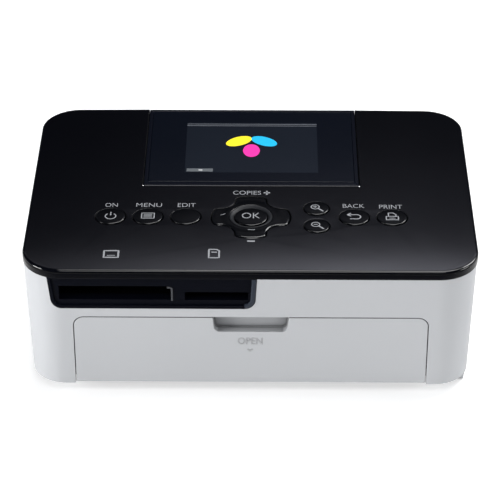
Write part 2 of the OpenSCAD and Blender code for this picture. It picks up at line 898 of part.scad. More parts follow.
module key_frame() color(grey) {
    top = key_board_low - touch;
    low = top - key_frame_t;
    block(key_frame_x, key_frame_y, [low, top]);
    for (s = [-1, 1])
        difference() {
            x0 = pad_at[0] + (s > 0 ? lug_in : -lug_out);
            block([x0, x0 + lug_out - lug_in], [pad_at[1] - lug_half, pad_at[1] + lug_half],
                [low, gimbal_z + lug_rise]);
            rod_x(x0 - 1, x0 + 3, [pad_at[1], gimbal_z], gimbal_pin_r + shaft_gap);
        }
}

// holes for the posts and lugs that pass the keypad and its board
module key_layer_holes() {
    for (p = hang_bosses)
        translate(p)
            circle(hang_boss_r + hang_hole_gap);
    for (s = [-1, 1])
        translate([pad_at[0] + s * (lug_in + lug_out) / 2, pad_at[1]])
            square([lug_out - lug_in + 2 * lug_hole_gap, 2 * lug_hole_half], center = true);
}

module rubber_keypad() color(rubber) {
    difference() {
        union() {
            translate([0, 0, web_low])
                linear_extrude(web_t)
                    difference() {
                        rect([-key_board_half, key_board_half], key_board_y);
                        key_layer_holes();
                    }
            for (k = concat(big_keys, small_keys, [pad_at]))
                rod_z(web_low, web_low + pad_h, k, dome_r + 1.2);
        }
        for (k = concat(big_keys, small_keys, [pad_at]))
            rod_z(web_low - 1, web_low + dome_h + touch, k, dome_r + seat);
    }
}

module key_board() color(green) {
    translate([0, 0, key_board_low])
        linear_extrude(key_board_t - touch)
            difference() {
                rect([-key_board_half, key_board_half], key_board_y);
                for (s = [-1, 1])
                    translate([pad_at[0] + s * (lug_in + lug_out) / 2, pad_at[1]])
                        square([lug_out - lug_in + 2 * lug_hole_gap, 2 * lug_hole_half], center = true);
            }
}

module dome_switches() color(steel) {
    for (k = concat(big_keys, small_keys, [pad_at]))
        rod_z(web_low, web_low + dome_h, k, dome_r);
}

module paper_door() color(white) {
    inner_y = -arc_y - shell_r(door_axis[1]) + door_t;
    difference() {
        union() {
            front_skin(door_t, door_low, door_top)
                door_outline(0, door_low);
            intersection() {
                along_y(-arc_y - shell_r(door_top) + door_t / 2,
                    -arc_y - shell_r(door_top) + recess_depth + 1.4)
                    recess_outline(1.4, door_top);
                block([-body_w, body_w], [-body_d, 0], [0, door_top - 0.5]);
            }
        }
        along_y(-body_d / 2 - 1, -arc_y - shell_r(door_top) + recess_depth)
            recess_outline(0, door_top + 1);
    }
    for (s = [-1, 1]) {
        x0 = s > 0 ? bay_half + bay_t + ear_gap : -bay_half - bay_t - ear_gap - ear_t;
        along_x(x0, x0 + ear_t) {
            translate(door_axis)
                circle(door_boss_r);
            rect([inner_y - 0.3, door_axis[0]],
                [door_axis[1] - door_boss_r, door_axis[1] + door_boss_r]);
        }
        rod_x(s > 0 ? x0 - ear_gap - bay_t : x0 + ear_t - eps,
            s > 0 ? x0 + eps : x0 + ear_t + ear_gap + bay_t, door_axis, door_pin_r);
    }
}

module tray_bay() color(black) {
    outer = bay_half + bay_t;
    for (s = [-1, 1])
        difference() {
            along_x(s > 0 ? bay_half : -outer, s > 0 ? outer : -bay_half) {
                polygon([
                    [door_axis[0], door_axis[1] + door_boss_r], [door_axis[0], door_axis[1] - door_boss_r],
                    [bay_floor_front, floor_z], [bay_back, floor_z], [bay_back, bay_top + bay_t],
                    [bay_roof_front, bay_top + bay_t], [bay_roof_front, bay_top - 9]
                ]);
                translate(door_axis)
                    circle(door_boss_r);
            }
            rod_x(-outer - 1, outer + 1, door_axis, door_pin_r + shaft_gap);
            rod_x(-outer - 1, outer + 1, pickup_at, pitch_r(pickup_teeth) + tooth_module + clear);
        }
    block([-outer, outer], [bay_floor_front, bay_back], [floor_z, floor_z + bay_t]);
    block([-outer, outer], [bay_roof_front, bay_roof_back], [bay_top, bay_top + bay_t]);
    block([-outer, outer], [bay_back - bay_t, bay_back], [floor_z, bay_stop_z]);
    for (p = board_posts)
        rod_z(bay_top, board_low - touch, p, board_post_r);
}

module ink_door() color(white) {
    span = ink_span(0);
    difference() {
        intersection() {
            skin_block(0, ink_door_low, ink_door_top);
            block([arc_x, body_w], span, [ink_door_low, ink_door_top]);
        }
        skin_block(door_t, ink_door_low - 1, ink_door_top + 1);
    }
    for (s = [-1, 1]) {
        y0 = s > 0 ? span[1] - ink_ear_in - ink_ear_t : span[0] + ink_ear_in;
        along_y(y0, y0 + ink_ear_t) {
            translate(ink_axis)
                circle(ink_boss_r);
            rect([ink_axis[0], arc_x + shell_r(ink_axis[1]) - door_t + 0.3],
                [ink_axis[1] - ink_boss_r, ink_axis[1] + ink_boss_r]);
        }
        rod_y(s > 0 ? y0 + ink_ear_t - eps : y0 - ink_ear_in - lug_gap - lug_t + 0.5,
            s > 0 ? y0 + ink_ear_t + ink_ear_in + lug_gap + lug_t - 0.5 : y0 + eps,
            ink_axis, ink_pin_r);
    }
}

// one chamber of the ink cassette round a spool, with a slot low on the side of the ribbon
module chamber(at, side) {
    difference() {
        rod_x(case_left, case_right, at, chamber_r);
        rod_x(case_left + case_disc, case_right - case_disc, at, chamber_r - chamber_t);
        rod_x(case_left - 1, case_right + 1, at, journal_r + shaft_gap);
        block([-ribbon_half - 2, ribbon_half + 2],
            side > 0 ? [at[0] + 1, at[0] + chamber_r + 1] : [at[0] - chamber_r - 1, at[0] - 1],
            [at[1] - chamber_r - 1, at[1] - chamber_r + 5]);
    }
}

module ink_cassette_case() color(grey) {
    chamber(supply_at, 1);
    chamber(takeup_at, -1);
    difference() {
        union() {
            block([case_left, -link_in], [supply_y, takeup_y], link_z);
            block([link_in, case_right], [supply_y, takeup_y], link_z);
            block([case_right - eps, case_right + wall],
                [supply_y - chamber_r, takeup_y + chamber_r],
                [takeup_at[1] - chamber_r, takeup_at[1] + chamber_r]);
            block([case_right, case_end], [head_y[0] - 0.5, head_y[1] + 1.5],
                [takeup_at[1] - 5, takeup_at[1] + 5]);
        }
        rod_x(case_left - 1, case_right - case_disc, supply_at, chamber_r - chamber_t);
        rod_x(case_left - 1, case_right - case_disc, takeup_at, chamber_r - chamber_t);
    }
}

module spool(at, roll_r) {
    difference() {
        union() {
            rod_x(case_left + case_disc + clear, case_right - case_disc - clear, at, core_r);
            rod_x(-ribbon_half, ribbon_half, at, roll_r);
            rod_x(case_left + 0.2, case_right - seat, at, journal_r);
        }
        rod_x(case_left - 1, case_left + drive_depth + 1, at, drive_r + shaft_gap);
    }
}

module ink_supply_spool() color(navy) spool(supply_at, supply_roll_r);

module ink_takeup_spool() color(navy) spool(takeup_at, takeup_roll_r);

// rise of a straight run of film that starts beside a roll and touches it from below
function film_rise(reach, up, r) = acos(r / norm([reach, up])) - atan2(reach, up);

// one run of film from its guide at the point p to the roll on that side
module film_run(p, at, roll_r, side) {
    r = roll_r + clear + film_t;
    rise = film_rise(abs(at[0] - p[0]), at[1] - p[1], r);
    end = [at[0] + side * r * sin(rise), at[1] - r * cos(rise)];
    along_x(-ribbon_half, ribbon_half)
        polygon([p, end, end + [0, film_t], p + [0, film_t]]);
}

module ink_ribbon() color(amber) {
    block([-ribbon_half, ribbon_half], film_y, [film_z, film_z + film_t]);
    film_run([film_y[0], film_z], supply_at, supply_roll_r, -1);
    film_run([film_y[1], film_z], takeup_at, takeup_roll_r, 1);
}

module ink_eject_lever() color(grey) {
    at = lever_at();
    difference() {
        along_x(plate_x + plate_t + clear, plate_x + plate_t + 3) {
            translate(at)
                circle(3.6);
            rect([at[0] - 1.8, at[0] + 1.8], [at[1] - 9, at[1] + 8]);
        }
        rod_x(plate_x, plate_x + 5, at, shaft_r + shaft_gap);
    }
    block([plate_x + plate_t + clear, case_end], [at[0] - 1.8, at[0] + 1.8], [at[1] - 11, at[1] - 9 + eps]);
}

// pivot of the eject lever in front of the cassette
function lever_at() = [pickup_at[0] + 4.9, 20];

module chassis_left_plate() color(steel) {
    difference() {
        union() {
            along_x(-plate_x - plate_t, -plate_x)
                rect([plate_front, plate_back], [floor_z, plate_top]);
            rod_x(post_x, -plate_x - plate_t + eps, idler_at, shaft_r);
            rod_x(post_x, -plate_x - plate_t + eps, pickup_idler_at, shaft_r);
            for (p = gear_posts)
                rod_x(gear_plate_x + gear_plate_t + touch, -plate_x - plate_t + eps, p, gear_post_r);
            for (y = [supply_y, takeup_y])
                block([-plate_x - eps, 4 - plate_x], [y - 4, y + 4], [link_z[0] - 1.1, link_z[0] - clear]);
        }
        reader_notch();
        shaft_bores();
        rod_x(-plate_x - 2, -plate_x + 1, takeup_at, drive_r + shaft_gap);
    }
}

module reader_notch() {
    block([-plate_x - plate_t - 1, plate_x + plate_t + 1], [plate_front - 1, wide_cage_back + clear],
        [cage_low - clear, plate_top + 1]);
}

module shaft_bores() {
    for (x = [-plate_x - plate_t / 2, plate_x + plate_t / 2]) {
        for (p = [platen_at, feed_at, pickup_at])
            rod_x(x - plate_t, x + plate_t, p, shaft_r + shaft_gap);
        rod_x(x - plate_t, x + plate_t, pinch_at, pinch_shaft_r + shaft_gap);
        rod_x(x - plate_t, x + plate_t, head_axis, arm_pin_r + shaft_gap);
    }
}

module chassis_right_plate() color(steel) {
    difference() {
        union() {
            along_x(plate_x, plate_x + plate_t)
                rect([plate_front, plate_back], [floor_z, plate_top]);
            rod_x(plate_x + plate_t - eps, plate_x + lever_pivot_l, lever_at(), shaft_r);
        }
        reader_notch();
        shaft_bores();
        block([plate_x - 1, plate_x + 2], [supply_y - chamber_r - 0.6, takeup_y + chamber_r + 0.6],
            [link_z[0] - clear, takeup_at[1] + chamber_r + 0.4]);
    }
}

module chassis_rear_tie() color(steel) {
    half = plate_x - seat;
    back = plate_back - tie_inset;
    block([-half, half], [back - plate_t, back], [floor_z, floor_z + tie_h]);
    block([-half, half], [back - tie_flange, back - plate_t / 2], [floor_z, floor_z + plate_t]);
}

module gear_plate() color(steel) {
    difference() {
        along_x(gear_plate_x, gear_plate_x + gear_plate_t)
            rect(gear_plate_y, [floor_z, gear_plate_top]);
        rod_x(gear_plate_x - 1, gear_plate_x + 2, pinion_at, motor_nose_r + touch);
    }
}

module paper_guide() color(black) {
    half = plate_x - seat;
    platen_r = platen_d / 2 + guide_gap;
    block([-half, half], [bay_back + 0.5, platen_at[0] - platen_r], guide_z);
    block([-half, half], [platen_at[0] + platen_r, feed_at[0] - feed_d / 2 - feed_guide_gap], guide_z);
    block([-half, half], [feed_at[0] + feed_d / 2 + guide_gap, guide_back], guide_z);
}

module roller(at, half, r, left, shaft) {
    rod_x(-half, half, at, r);
    rod_x(left, plate_x + plate_t + 0.4, at, shaft);
}

module platen_roller() color(rubber)
    roller(platen_at, platen_half, platen_d / 2, -plate_x - plate_t - 0.4, shaft_r);

module feed_roller() color(steel)
    roller(feed_at, roller_half, feed_d / 2, gear_x[0] - 0.3, shaft_r);

module pinch_roller() color(rubber)
    roller(pinch_at, roller_half, pinch_r, -plate_x - plate_t - 0.4, pinch_shaft_r);

module pickup_roller() color(rubber) {
    for (s = [-1, 1])
        rod_x(s * tyre_x - tyre_w / 2, s * tyre_x + tyre_w / 2, pickup_at, pickup_d / 2);
    rod_x(gear_x[0] - 0.3, plate_x + plate_t + 0.4, pickup_at, shaft_r);
}

module thermal_head() color(amber) {
    block([-head_half, head_half], head_y, [head_low, head_low + head_strip_t]);
}

module head_heatsink() color(steel) {
    difference() {
        block([-head_half, head_half], head_y, [head_low + head_strip_t + eps, arm_low - eps]);
        for (z = [33 : 3 : 42])
            block([-head_half - 1, head_half + 1], [head_y[0] - 1, head_y[0] + 2], [z, z + 1.6]);
    }
}

module head_arm() color(grey) {
    block([-arm_half, arm_half], [arm_front, head_axis[0] + 1.6], [arm_low, arm_low + arm_t]);
    for (s = [-1, 1]) {
        x0 = s > 0 ? arm_half - arm_ear : -arm_half;
        block([x0, x0 + arm_ear], [head_axis[0] - 3, head_axis[0] + 1.6],
            [head_axis[1] - 2.2, arm_low + arm_t]);
        rod_x(s > 0 ? arm_half - eps : -plate_x - plate_t - 0.3,
            s > 0 ? plate_x + plate_t + 0.3 : eps - arm_half, head_axis, arm_pin_r);
    }
}

module feed_motor() color(steel) {
    rod_x(motor_left, gear_plate_x - touch, pinion_at, motor_r);
    rod_x(gear_plate_x - 1, gear_plate_x + gear_plate_t + 0.3, pinion_at, motor_nose_r);
}

module motor_pinion() color(white) {
    gear(pinion_teeth, pinion_at, pinion_phase, motor_shaft_r);
    rod_x(gear_x[0] - 0.6, gear_x[1] + 0.3, pinion_at, motor_shaft_r + eps);
}

module idler_gear() color(white) gear(idler_teeth, idler_at, idler_phase, shaft_r + shaft_gap);

module feed_gear() color(white) gear(feed_teeth, feed_at, feed_phase, shaft_r + eps * 2);

module takeup_gear() color(white) {
    gear(takeup_teeth, takeup_at, takeup_phase, 1);
    rod_x(gear_x[0], case_left + drive_depth, takeup_at, drive_r);
}

module pickup_idler_gear() color(white)
    gear(pickup_idler_teeth, pickup_idler_at, pickup_idler_phase, shaft_r + shaft_gap);

module pickup_gear() color(white)
    gear(pickup_teeth, pickup_at, pickup_phase, shaft_r + eps * 2);

module main_board() color(green) {
    block(board_x, board_y, [board_low, board_low + board_t]);
    block(chip_x, chip_y, [board_low + board_t - eps, board_low + board_t + chip_t]);
    block(memory_x, memory_y, [board_low + board_t - eps, board_low + board_t + memory_t]);
}

// a card cage open at the front, with the contact block at its back
module cage(slot_x, slot_w, back, top) {
    x = [slot_x - slot_w / 2 - 0.3, slot_x + slot_w / 2 + 0.3];
    difference() {
        block([x[0] - cage_t, x[1] + cage_t], [reader_front, back], [cage_low, top]);
        block(x, [reader_front - 1, back - wall], [cage_low + cage_t, top - cage_t]);
    }
    block([slot_x - slot_w / 2 + 3, slot_x + slot_w / 2 - 3], [back - wall - 3, back - wall + eps],
        [cage_low + cage_t + 1, top - cage_t - 1]);
}

module wide_card_reader() color(steel)
    cage(wide_slot_x, wide_slot_w, wide_cage_back, wide_cage_top);

module small_card_reader() color(steel)
    cage(small_slot_x, small_slot_w, small_cage_back, small_cage_top);

module power_board() color(green) {
    block(power_board_x, [power_back - power_board_d, power_back], [floor_z, floor_z + board_t]);
    rod_z(floor_z + board_t - eps, floor_z + board_t + capacitor_h, capacitor_at, capacitor_r);
}

module power_jack() color(black) {
    back = arc_y + shell_r(jack_z) - wall - clear;
    difference() {
        union() {
            block([jack_x - jack_w / 2, jack_x + jack_w / 2], [back - jack_d, back],
                [floor_z + board_t + touch, floor_z + board_t + touch + jack_h]);
            rod_y(back - eps, back + wall, [jack_x, jack_z], jack_nose_r);
        }
        rod_y(back - jack_bore_d, back + wall + 1, [jack_x, jack_z], jack_bore_r);
    }
    rod_y(back - jack_bore_d - eps, back + 1, [jack_x, jack_z], jack_pin_r);
}

body_shell();
base_plate();
rubber_feet();
case_screws();
top_cover();
card_bezel();
screen_housing();
screen_window();
lcd_module();
screen_hinge_pins();
power_button();
menu_button();
edit_button();
zoom_in_button();
zoom_out_button();
back_button();
print_button();
ok_button();
ok_ring();
nav_pad();
nav_pivot_ring();
key_frame();
rubber_keypad();
key_board();
dome_switches();
paper_door();
tray_bay();
ink_door();
ink_cassette_case();
ink_supply_spool();
ink_takeup_spool();
ink_ribbon();
ink_eject_lever();
chassis_left_plate();
chassis_right_plate();
chassis_rear_tie();
gear_plate();
paper_guide();
platen_roller();
feed_roller();
pinch_roller();
pickup_roller();
thermal_head();
head_heatsink();
head_arm();
feed_motor();
motor_pinion();
idler_gear();
feed_gear();
takeup_gear();
pickup_idler_gear();
pickup_gear();
main_board();
wide_card_reader();
small_card_reader();
power_board();
power_jack();
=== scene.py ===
import math

import bmesh
import bpy
import numpy as np
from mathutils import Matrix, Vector, geometry


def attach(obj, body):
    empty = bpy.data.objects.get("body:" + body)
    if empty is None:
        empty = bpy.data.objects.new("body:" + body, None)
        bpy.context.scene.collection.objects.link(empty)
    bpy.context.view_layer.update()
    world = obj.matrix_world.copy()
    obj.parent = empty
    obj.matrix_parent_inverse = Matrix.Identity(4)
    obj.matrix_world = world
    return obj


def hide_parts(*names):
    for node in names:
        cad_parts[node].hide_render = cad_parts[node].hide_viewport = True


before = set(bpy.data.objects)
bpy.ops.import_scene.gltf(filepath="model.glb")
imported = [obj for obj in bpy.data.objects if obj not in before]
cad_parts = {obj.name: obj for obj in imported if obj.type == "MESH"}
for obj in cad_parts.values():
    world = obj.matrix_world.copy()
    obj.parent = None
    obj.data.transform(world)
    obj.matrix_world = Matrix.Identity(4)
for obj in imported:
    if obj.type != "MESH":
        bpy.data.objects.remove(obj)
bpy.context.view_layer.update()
mm = 0.001
print("frame loaded:", len(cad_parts), "nodes")


# ---- surfaces: numpy arrays in millimetres ----

def unit(v):
    return v / np.maximum(np.linalg.norm(v, axis=-1, keepdims=True), 1e-12)


def arc(centre, radius, start, end, steps):
    # A(t) = centre + radius (cos t, sin t), t in degrees
    t = np.radians(np.linspace(start, end, steps + 1))
    return np.stack([centre[0] + radius * np.cos(t), centre[1] + radius * np.sin(t)], -1)


def roundedBox(x, y, radius, steps=6):
    # four corner arcs, counter-clockwise
    (x0, x1), (y0, y1) = x, y
    return np.concatenate([
        arc((x1 - radius, y0 + radius), radius, -90, 0, steps),
        arc((x1 - radius, y1 - radius), radius, 0, 90, steps),
        arc((x0 + radius, y1 - radius), radius, 90, 180, steps),
        arc((x0 + radius, y0 + radius), radius, 180, 270, steps)])


def offsetLoop(loop, inset):
    # p' = p + d, with na.d = ia and nb.d = ib for the left normals and insets of the two edges at p
    inset = np.broadcast_to(np.asarray(inset, float), (len(loop),))
    along = unit(np.roll(loop, -1, 0) - loop)
    nb = np.stack([-along[:, 1], along[:, 0]], -1)
    na, ib = np.roll(nb, 1, 0), inset[:, None]
    ia = np.roll(inset, 1)[:, None]
    c = np.sum(na * nb, -1, keepdims=True)
    sharp = 1 - c * c > 0.02
    safe = np.where(sharp, 1 - c * c, 1)
    corner = ((ia - ib * c) * na + (ib - ia * c) * nb) / safe
    smooth = (na + nb) * (ia + ib) / 2 / np.maximum(1 + c, 0.2)
    return loop + np.where(sharp, corner, smooth)


def insideLoops(points, loops):
    # even-odd rule over every loop's edges
    inside = np.zeros(len(points), bool)
    x, y = points[:, :1], points[:, 1:2]
    for loop in loops:
        a, b = loop, np.roll(loop, -1, 0)
        spans = (a[:, 1] > y) != (b[:, 1] > y)
        rise = np.where(np.abs(b[:, 1] - a[:, 1]) < 1e-12, 1e-12, b[:, 1] - a[:, 1])
        cross = a[:, 0] + (y - a[:, 1]) * (b[:, 0] - a[:, 0]) / rise
        inside ^= (np.sum(spans & (x < cross), -1) % 2).astype(bool)
    return inside


def fillLoops(loops, inner=None):
    # triangles between closed loops, with extra points inside
    points = np.concatenate(loops)
    edges, start = [], 0
    for loop in loops:
        i = np.arange(len(loop))
        edges += (np.stack([i, np.roll(i, -1)], -1) + start).tolist()
        start += len(loop)
    if inner is not None and len(inner):
        points = np.concatenate([points, inner[insideLoops(inner, loops)]])
    made = geometry.delaunay_2d_cdt([Vector(p) for p in points.tolist()], edges, [], 0, 1e-5)
    flat = np.array([tuple(v) for v in made[0]])
    tris = np.array(made[2])
    middle = flat[tris].mean(1)
    return flat, tris[insideLoops(middle, loops)]


def quarterRound(radius, steps=4):
    # edge profile (inset, depth) = r (1 - sin a, 1 - cos a)
    a = np.linspace(0, np.pi / 2, steps + 1)
    return [(radius * (1 - math.sin(t)), radius * (1 - math.cos(t))) for t in a]


class Surface:
    def __init__(self):
        self.points, self.faces, self.count = [], [], 0

    def add(self, points, faces):
        self.points.append(np.asarray(points, float).reshape(-1, 3))
        self.faces += (np.asarray(faces) + self.count).tolist()
        self.count += len(self.points[-1])
        return self

    def grid(self, points, wrap=True):
        # a grid of rows and columns, closed round its columns when it wraps
        rows, cols = points.shape[:2]
        i = np.arange(rows * cols).reshape(rows, cols)
        j = np.roll(i, -1, 1)
        if not wrap:
            i, j = i[:, :-1], j[:, :-1]
        quads = np.stack([i[1:], j[1:], j[:-1], i[:-1]], -1).reshape(-1, 4)
        return self.add(points, quads)

    def plate(self, loops, rims, place, inner=None):
        # S(u, v) = place(loop(u) + inset(v) n(u), depth(v)); the first and last rings are filled
        first, last = [], []
        for loop, rim in zip(loops, rims):
            rings = [offsetLoop(loop, inset) for inset, depth in rim]
            self.grid(np.stack([place(ring, depth) for ring, (inset, depth) in zip(rings, rim)]))
            first.append(rings[0])
            last.append(rings[-1])
        flat, tris = fillLoops(first, inner)
        self.add(place(flat, float(np.min(rims[0][0][1]))), tris)
        flat, tris = fillLoops(last, inner)
        depth = np.max(rims[0][-1][1])
        return self.add(place(flat, depth), tris[:, ::-1])

    def turned(self, centre, profile, steps=64):
        # R(a, t) = centre + (r(t) cos a, r(t) sin a, z(t)), with a fan at each pole
        profile = np.asarray(profile, float)
        a = np.linspace(0, 2 * np.pi, steps, endpoint=False)
        r, z = profile[:, 0][:, None], profile[:, 1][:, None]
        x, y = centre[0] + r * np.cos(a), centre[1] + r * np.sin(a)
        return self.grid(np.stack([x, y, np.broadcast_to(z, x.shape)], -1))


def cleanMesh(work):
    bmesh.ops.remove_doubles(work, verts=work.verts, dist=2e-6)
    bmesh.ops.dissolve_degenerate(work, edges=work.edges, dist=1e-7)


def addObject(name, mesh, finish, sharp, weigh=True):
    # a smooth-shaded object, with normals weighed by the area of the faces
    mesh.shade_smooth()
    mesh.set_sharp_from_angle(angle=math.radians(sharp))
    piece = bpy.data.objects.new(name, mesh)
    bpy.context.scene.collection.objects.link(piece)
    mesh.materials.append(finishes[finish])
    if weigh:
        normals = piece.modifiers.new("normals", "WEIGHTED_NORMAL")
        normals.keep_sharp = True
    return piece


def makePiece(name, surface, body, finish, replaces=(), sharp=40, weigh=True):
    mesh = bpy.data.meshes.new(name)
    points = np.concatenate(surface.points) * mm
    mesh.from_pydata(points.tolist(), [], surface.faces)
    work = bmesh.new()
    work.from_mesh(mesh)
    cleanMesh(work)
    bmesh.ops.recalc_face_normals(work, faces=work.faces)
    work.to_mesh(mesh)
    work.free()
    piece = addObject(name, mesh, finish, sharp, weigh)
    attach(piece, body)
    if replaces:
        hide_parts(*replaces)
    return piece


softEdge = {"flat": 0.4, "hard": 32, "segments": 2, "sharp": 40}


def softCopy(name, node, body, finish, width):
    # the node's own solid with every hard edge rounded; the angles are in degrees
    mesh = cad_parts[node].data.copy()
    mesh.name = name
    mesh.materials.clear()
    work = bmesh.new()
    work.from_mesh(mesh)
    cleanMesh(work)
    bmesh.ops.dissolve_limit(work, angle_limit=math.radians(softEdge["flat"]), verts=work.verts,
                             edges=work.edges)
    least = math.radians(softEdge["hard"])
    hard = [e for e in work.edges if len(e.link_faces) == 2 and e.calc_face_angle(0) > least]
    bmesh.ops.bevel(work, geom=hard, offset=width * mm, offset_type="OFFSET",
                    segments=softEdge["segments"], profile=0.5, affect="EDGES", clamp_overlap=True)
    bmesh.ops.triangulate(work, faces=[f for f in work.faces if len(f.verts) > 4])
    work.to_mesh(mesh)
    work.free()
    piece = addObject(name, mesh, finish, softEdge["sharp"])
    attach(piece, body)
    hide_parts(node)
    return piece


# ---- finishes ----

class Wire:
    # a socket whose operators add Math nodes
    def __init__(self, finish, socket):
        self.finish, self.socket = finish, socket

    def math(self, operation, *others):
        return self.finish.math(operation, self, *others)

    def __add__(self, other):
        return self.math("ADD", other)

    def __radd__(self, other):
        return self.math("ADD", other)

    def __sub__(self, other):
        return self.math("SUBTRACT", other)

    def __rsub__(self, other):
        return self.finish.math("SUBTRACT", other, self)

    def __mul__(self, other):
        return self.math("MULTIPLY", other)

    def __truediv__(self, other):
        return self.math("DIVIDE", other)

    def __lt__(self, other):
        return self.math("LESS_THAN", other)

    def __gt__(self, other):
        return self.math("GREATER_THAN", other)


class Finish:
    def __init__(self, name):
        self.material = bpy.data.materials.new(name)
        self.material.use_nodes = True
        self.tree = self.material.node_tree
        self.tree.nodes.clear()
        self.shader = self.tree.nodes.new("ShaderNodeBsdfPrincipled")
        out = self.tree.nodes.new("ShaderNodeOutputMaterial")
        self.tree.links.new(self.shader.outputs[0], out.inputs[0])
        self.place = Wire(self, self.node("ShaderNodeTexCoord").outputs["Object"])

    def node(self, kind, settings=None, sockets=None):
        made = self.tree.nodes.new(kind)
        for key, value in (settings or {}).items():
            if key == "stops":
                ramp = made.color_ramp
                while len(ramp.elements) < len(value):
                    ramp.elements.new(0.5)
                for element, (at, colour) in zip(ramp.elements, value):
                    element.position, element.color = at, (*colour, 1)
            else:
                setattr(made, key, value)
        for key, value in (sockets or {}).items():
            self.feed(made.inputs[key], value)
        return made

    def feed(self, socket, value):
        if isinstance(value, Wire):
            self.tree.links.new(value.socket, socket)
        else:
            socket.default_value = value

    def math(self, operation, *values, clamp=False):
        made = self.node("ShaderNodeMath", {"operation": operation, "use_clamp": clamp},
                         dict(enumerate(values)))
        return Wire(self, made.outputs[0])

    def clamp(self, value):
        return self.math("ADD", value, 0.0, clamp=True)

    def mix(self, factor, first, second):
        made = self.node("ShaderNodeMix", {"data_type": "RGBA"}, {0: factor, 6: first, 7: second})
        return Wire(self, made.outputs[2])

    def noise(self, scale, detail=2.0, rough=0.5, stretch=(1, 1, 1)):
        place = self.place
        if stretch != (1, 1, 1):
            place = Wire(self, self.node("ShaderNodeMapping", None, {0: place, 3: stretch}).outputs[0])
        made = self.node("ShaderNodeTexNoise", None,
                         {"Vector": place, "Scale": scale, "Detail": detail, "Roughness": rough})
        return Wire(self, made.outputs[0])

    def cells(self, scale, output="Distance"):
        made = self.node("ShaderNodeTexVoronoi", {"feature": "F1"}, {"Vector": self.place, "Scale": scale})
        return Wire(self, made.outputs[output])

    def axes(self):
        made = self.node("ShaderNodeSeparateXYZ", None, {0: self.place})
        return [Wire(self, made.outputs[i]) for i in range(3)]

    def edges(self, radius, gain):
        # how far the surface bends within the radius
        rounded = self.node("ShaderNodeBevel", {"samples": 4}, {"Radius": radius * mm})
        plain = self.node("ShaderNodeNewGeometry")
        dot = self.node("ShaderNodeVectorMath", {"operation": "DOT_PRODUCT"},
                        {0: Wire(self, rounded.outputs[0]), 1: Wire(self, plain.outputs["Normal"])})
        return self.clamp((1 - Wire(self, dot.outputs["Value"])) * gain)

    def bump(self, height, distance):
        made = self.node("ShaderNodeBump", None,
                         {"Strength": 1.0, "Distance": distance * mm, "Height": height})
        self.feed(self.shader.inputs["Normal"], Wire(self, made.outputs[0]))

    def set(self, **sockets):
        for key, value in sockets.items():
            self.feed(self.shader.inputs[key.replace("_", " ")], value)
        return self


def colour(values, level=1.0):
    return (*[v * level for v in values], 1.0)


# scales of the mottling, wear and smears, and how fast the painted shade in seams and hollows sets in
wearAndShadeLook = {
    "cloudScale": 30, "wearWidth": 0.25, "wearGain": 2.0, "wearScale": 420, "smearScale": 55,
    "seamOpen": 0.42, "seamGain": 2.2, "hollowGain": 1.2, "hollowStart": 0.1,
}
usualLook = {"mottle": 0.1, "smear": 0.1, "ior": 1.5}


def moulded(name, look):
    # plastic, rubber or paint: mottled colour, lighter worn edges, painted shade in seams and hollows,
    # uneven gloss, fine grain
    look = {**usualLook, **look}
    f = Finish(name)
    base = look["colour"]
    cloud = f.noise(wearAndShadeLook["cloudScale"], 3)
    tone = f.mix(cloud, colour(base, 1 - look["mottle"]), colour(base, 1 + look["mottle"]))
    wear = f.edges(wearAndShadeLook["wearWidth"], wearAndShadeLook["wearGain"])
    speck = f.noise(wearAndShadeLook["wearScale"], 2)
    worn = f.clamp(wear * f.clamp((speck - 0.38) * 3)) * look["wear"]
    tone = f.mix(worn, tone, colour(look["wornColour"]))
    if "seam" in look:
        # painted shade and dust in the gaps between the mouldings: ambient occlusion darkens the colour
        # there and dulls the gloss
        gap = f.node("ShaderNodeAmbientOcclusion", {"samples": 8}, {"Distance": look["seam"] * mm})
        seen = Wire(f, gap.outputs["AO"]) - wearAndShadeLook["seamOpen"]
        dustAndShade = 1 - f.clamp(seen * wearAndShadeLook["seamGain"])
        tone = f.mix(dustAndShade, tone, colour(base, 0.03))
    else:
        dustAndShade = 0.0
    if "hollow" in look:
        # painted shade in wider hollows, such as a finger recess: ambient occlusion darkens the colour
        # there
        hollow = f.node("ShaderNodeAmbientOcclusion", {"samples": 8}, {"Distance": look["hollow"] * mm})
        seen = Wire(f, hollow.outputs["AO"]) * wearAndShadeLook["hollowGain"] - wearAndShadeLook["hollowStart"]
        tone = f.mix(f.clamp(seen), colour(base, 0.1), tone)
    f.set(Base_Color=tone)
    smear = f.noise(wearAndShadeLook["smearScale"], 4, 0.6)
    f.set(Roughness=f.clamp(look["roughness"] + (smear - 0.5) * look["smear"] + worn * 0.15 + dustAndShade))
    f.set(Metallic=0.0, IOR=look["ior"])
    grain = f.noise(look["grainScale"], 2, 0.55)
    f.bump(grain, look["grainHeight"])
    return f.material


def rolledSteel(name, look):
    # spangled or brushed metal with scratches
    f = Finish(name)
    base = look["colour"]
    flake = f.cells(260, "Color")
    split = f.node("ShaderNodeSeparateColor", None, {0: flake})
    tone = Wire(f, split.outputs[0])
    brushed = f.noise(600, 2, 0.5, look.get("stretch", (1, 1, 1)))
    shade = tone * 0.5 + brushed * 0.5
    f.set(Base_Color=f.mix(shade, colour(base, 1 - look["mottle"]), colour(base, 1 + look["mottle"])))
    f.set(Metallic=1.0)
    f.set(Roughness=f.clamp(look["roughness"] + (brushed - 0.5) * look["smear"] + (tone - 0.5) * 0.1))
    f.bump(brushed, look["grainHeight"])
    return f.material


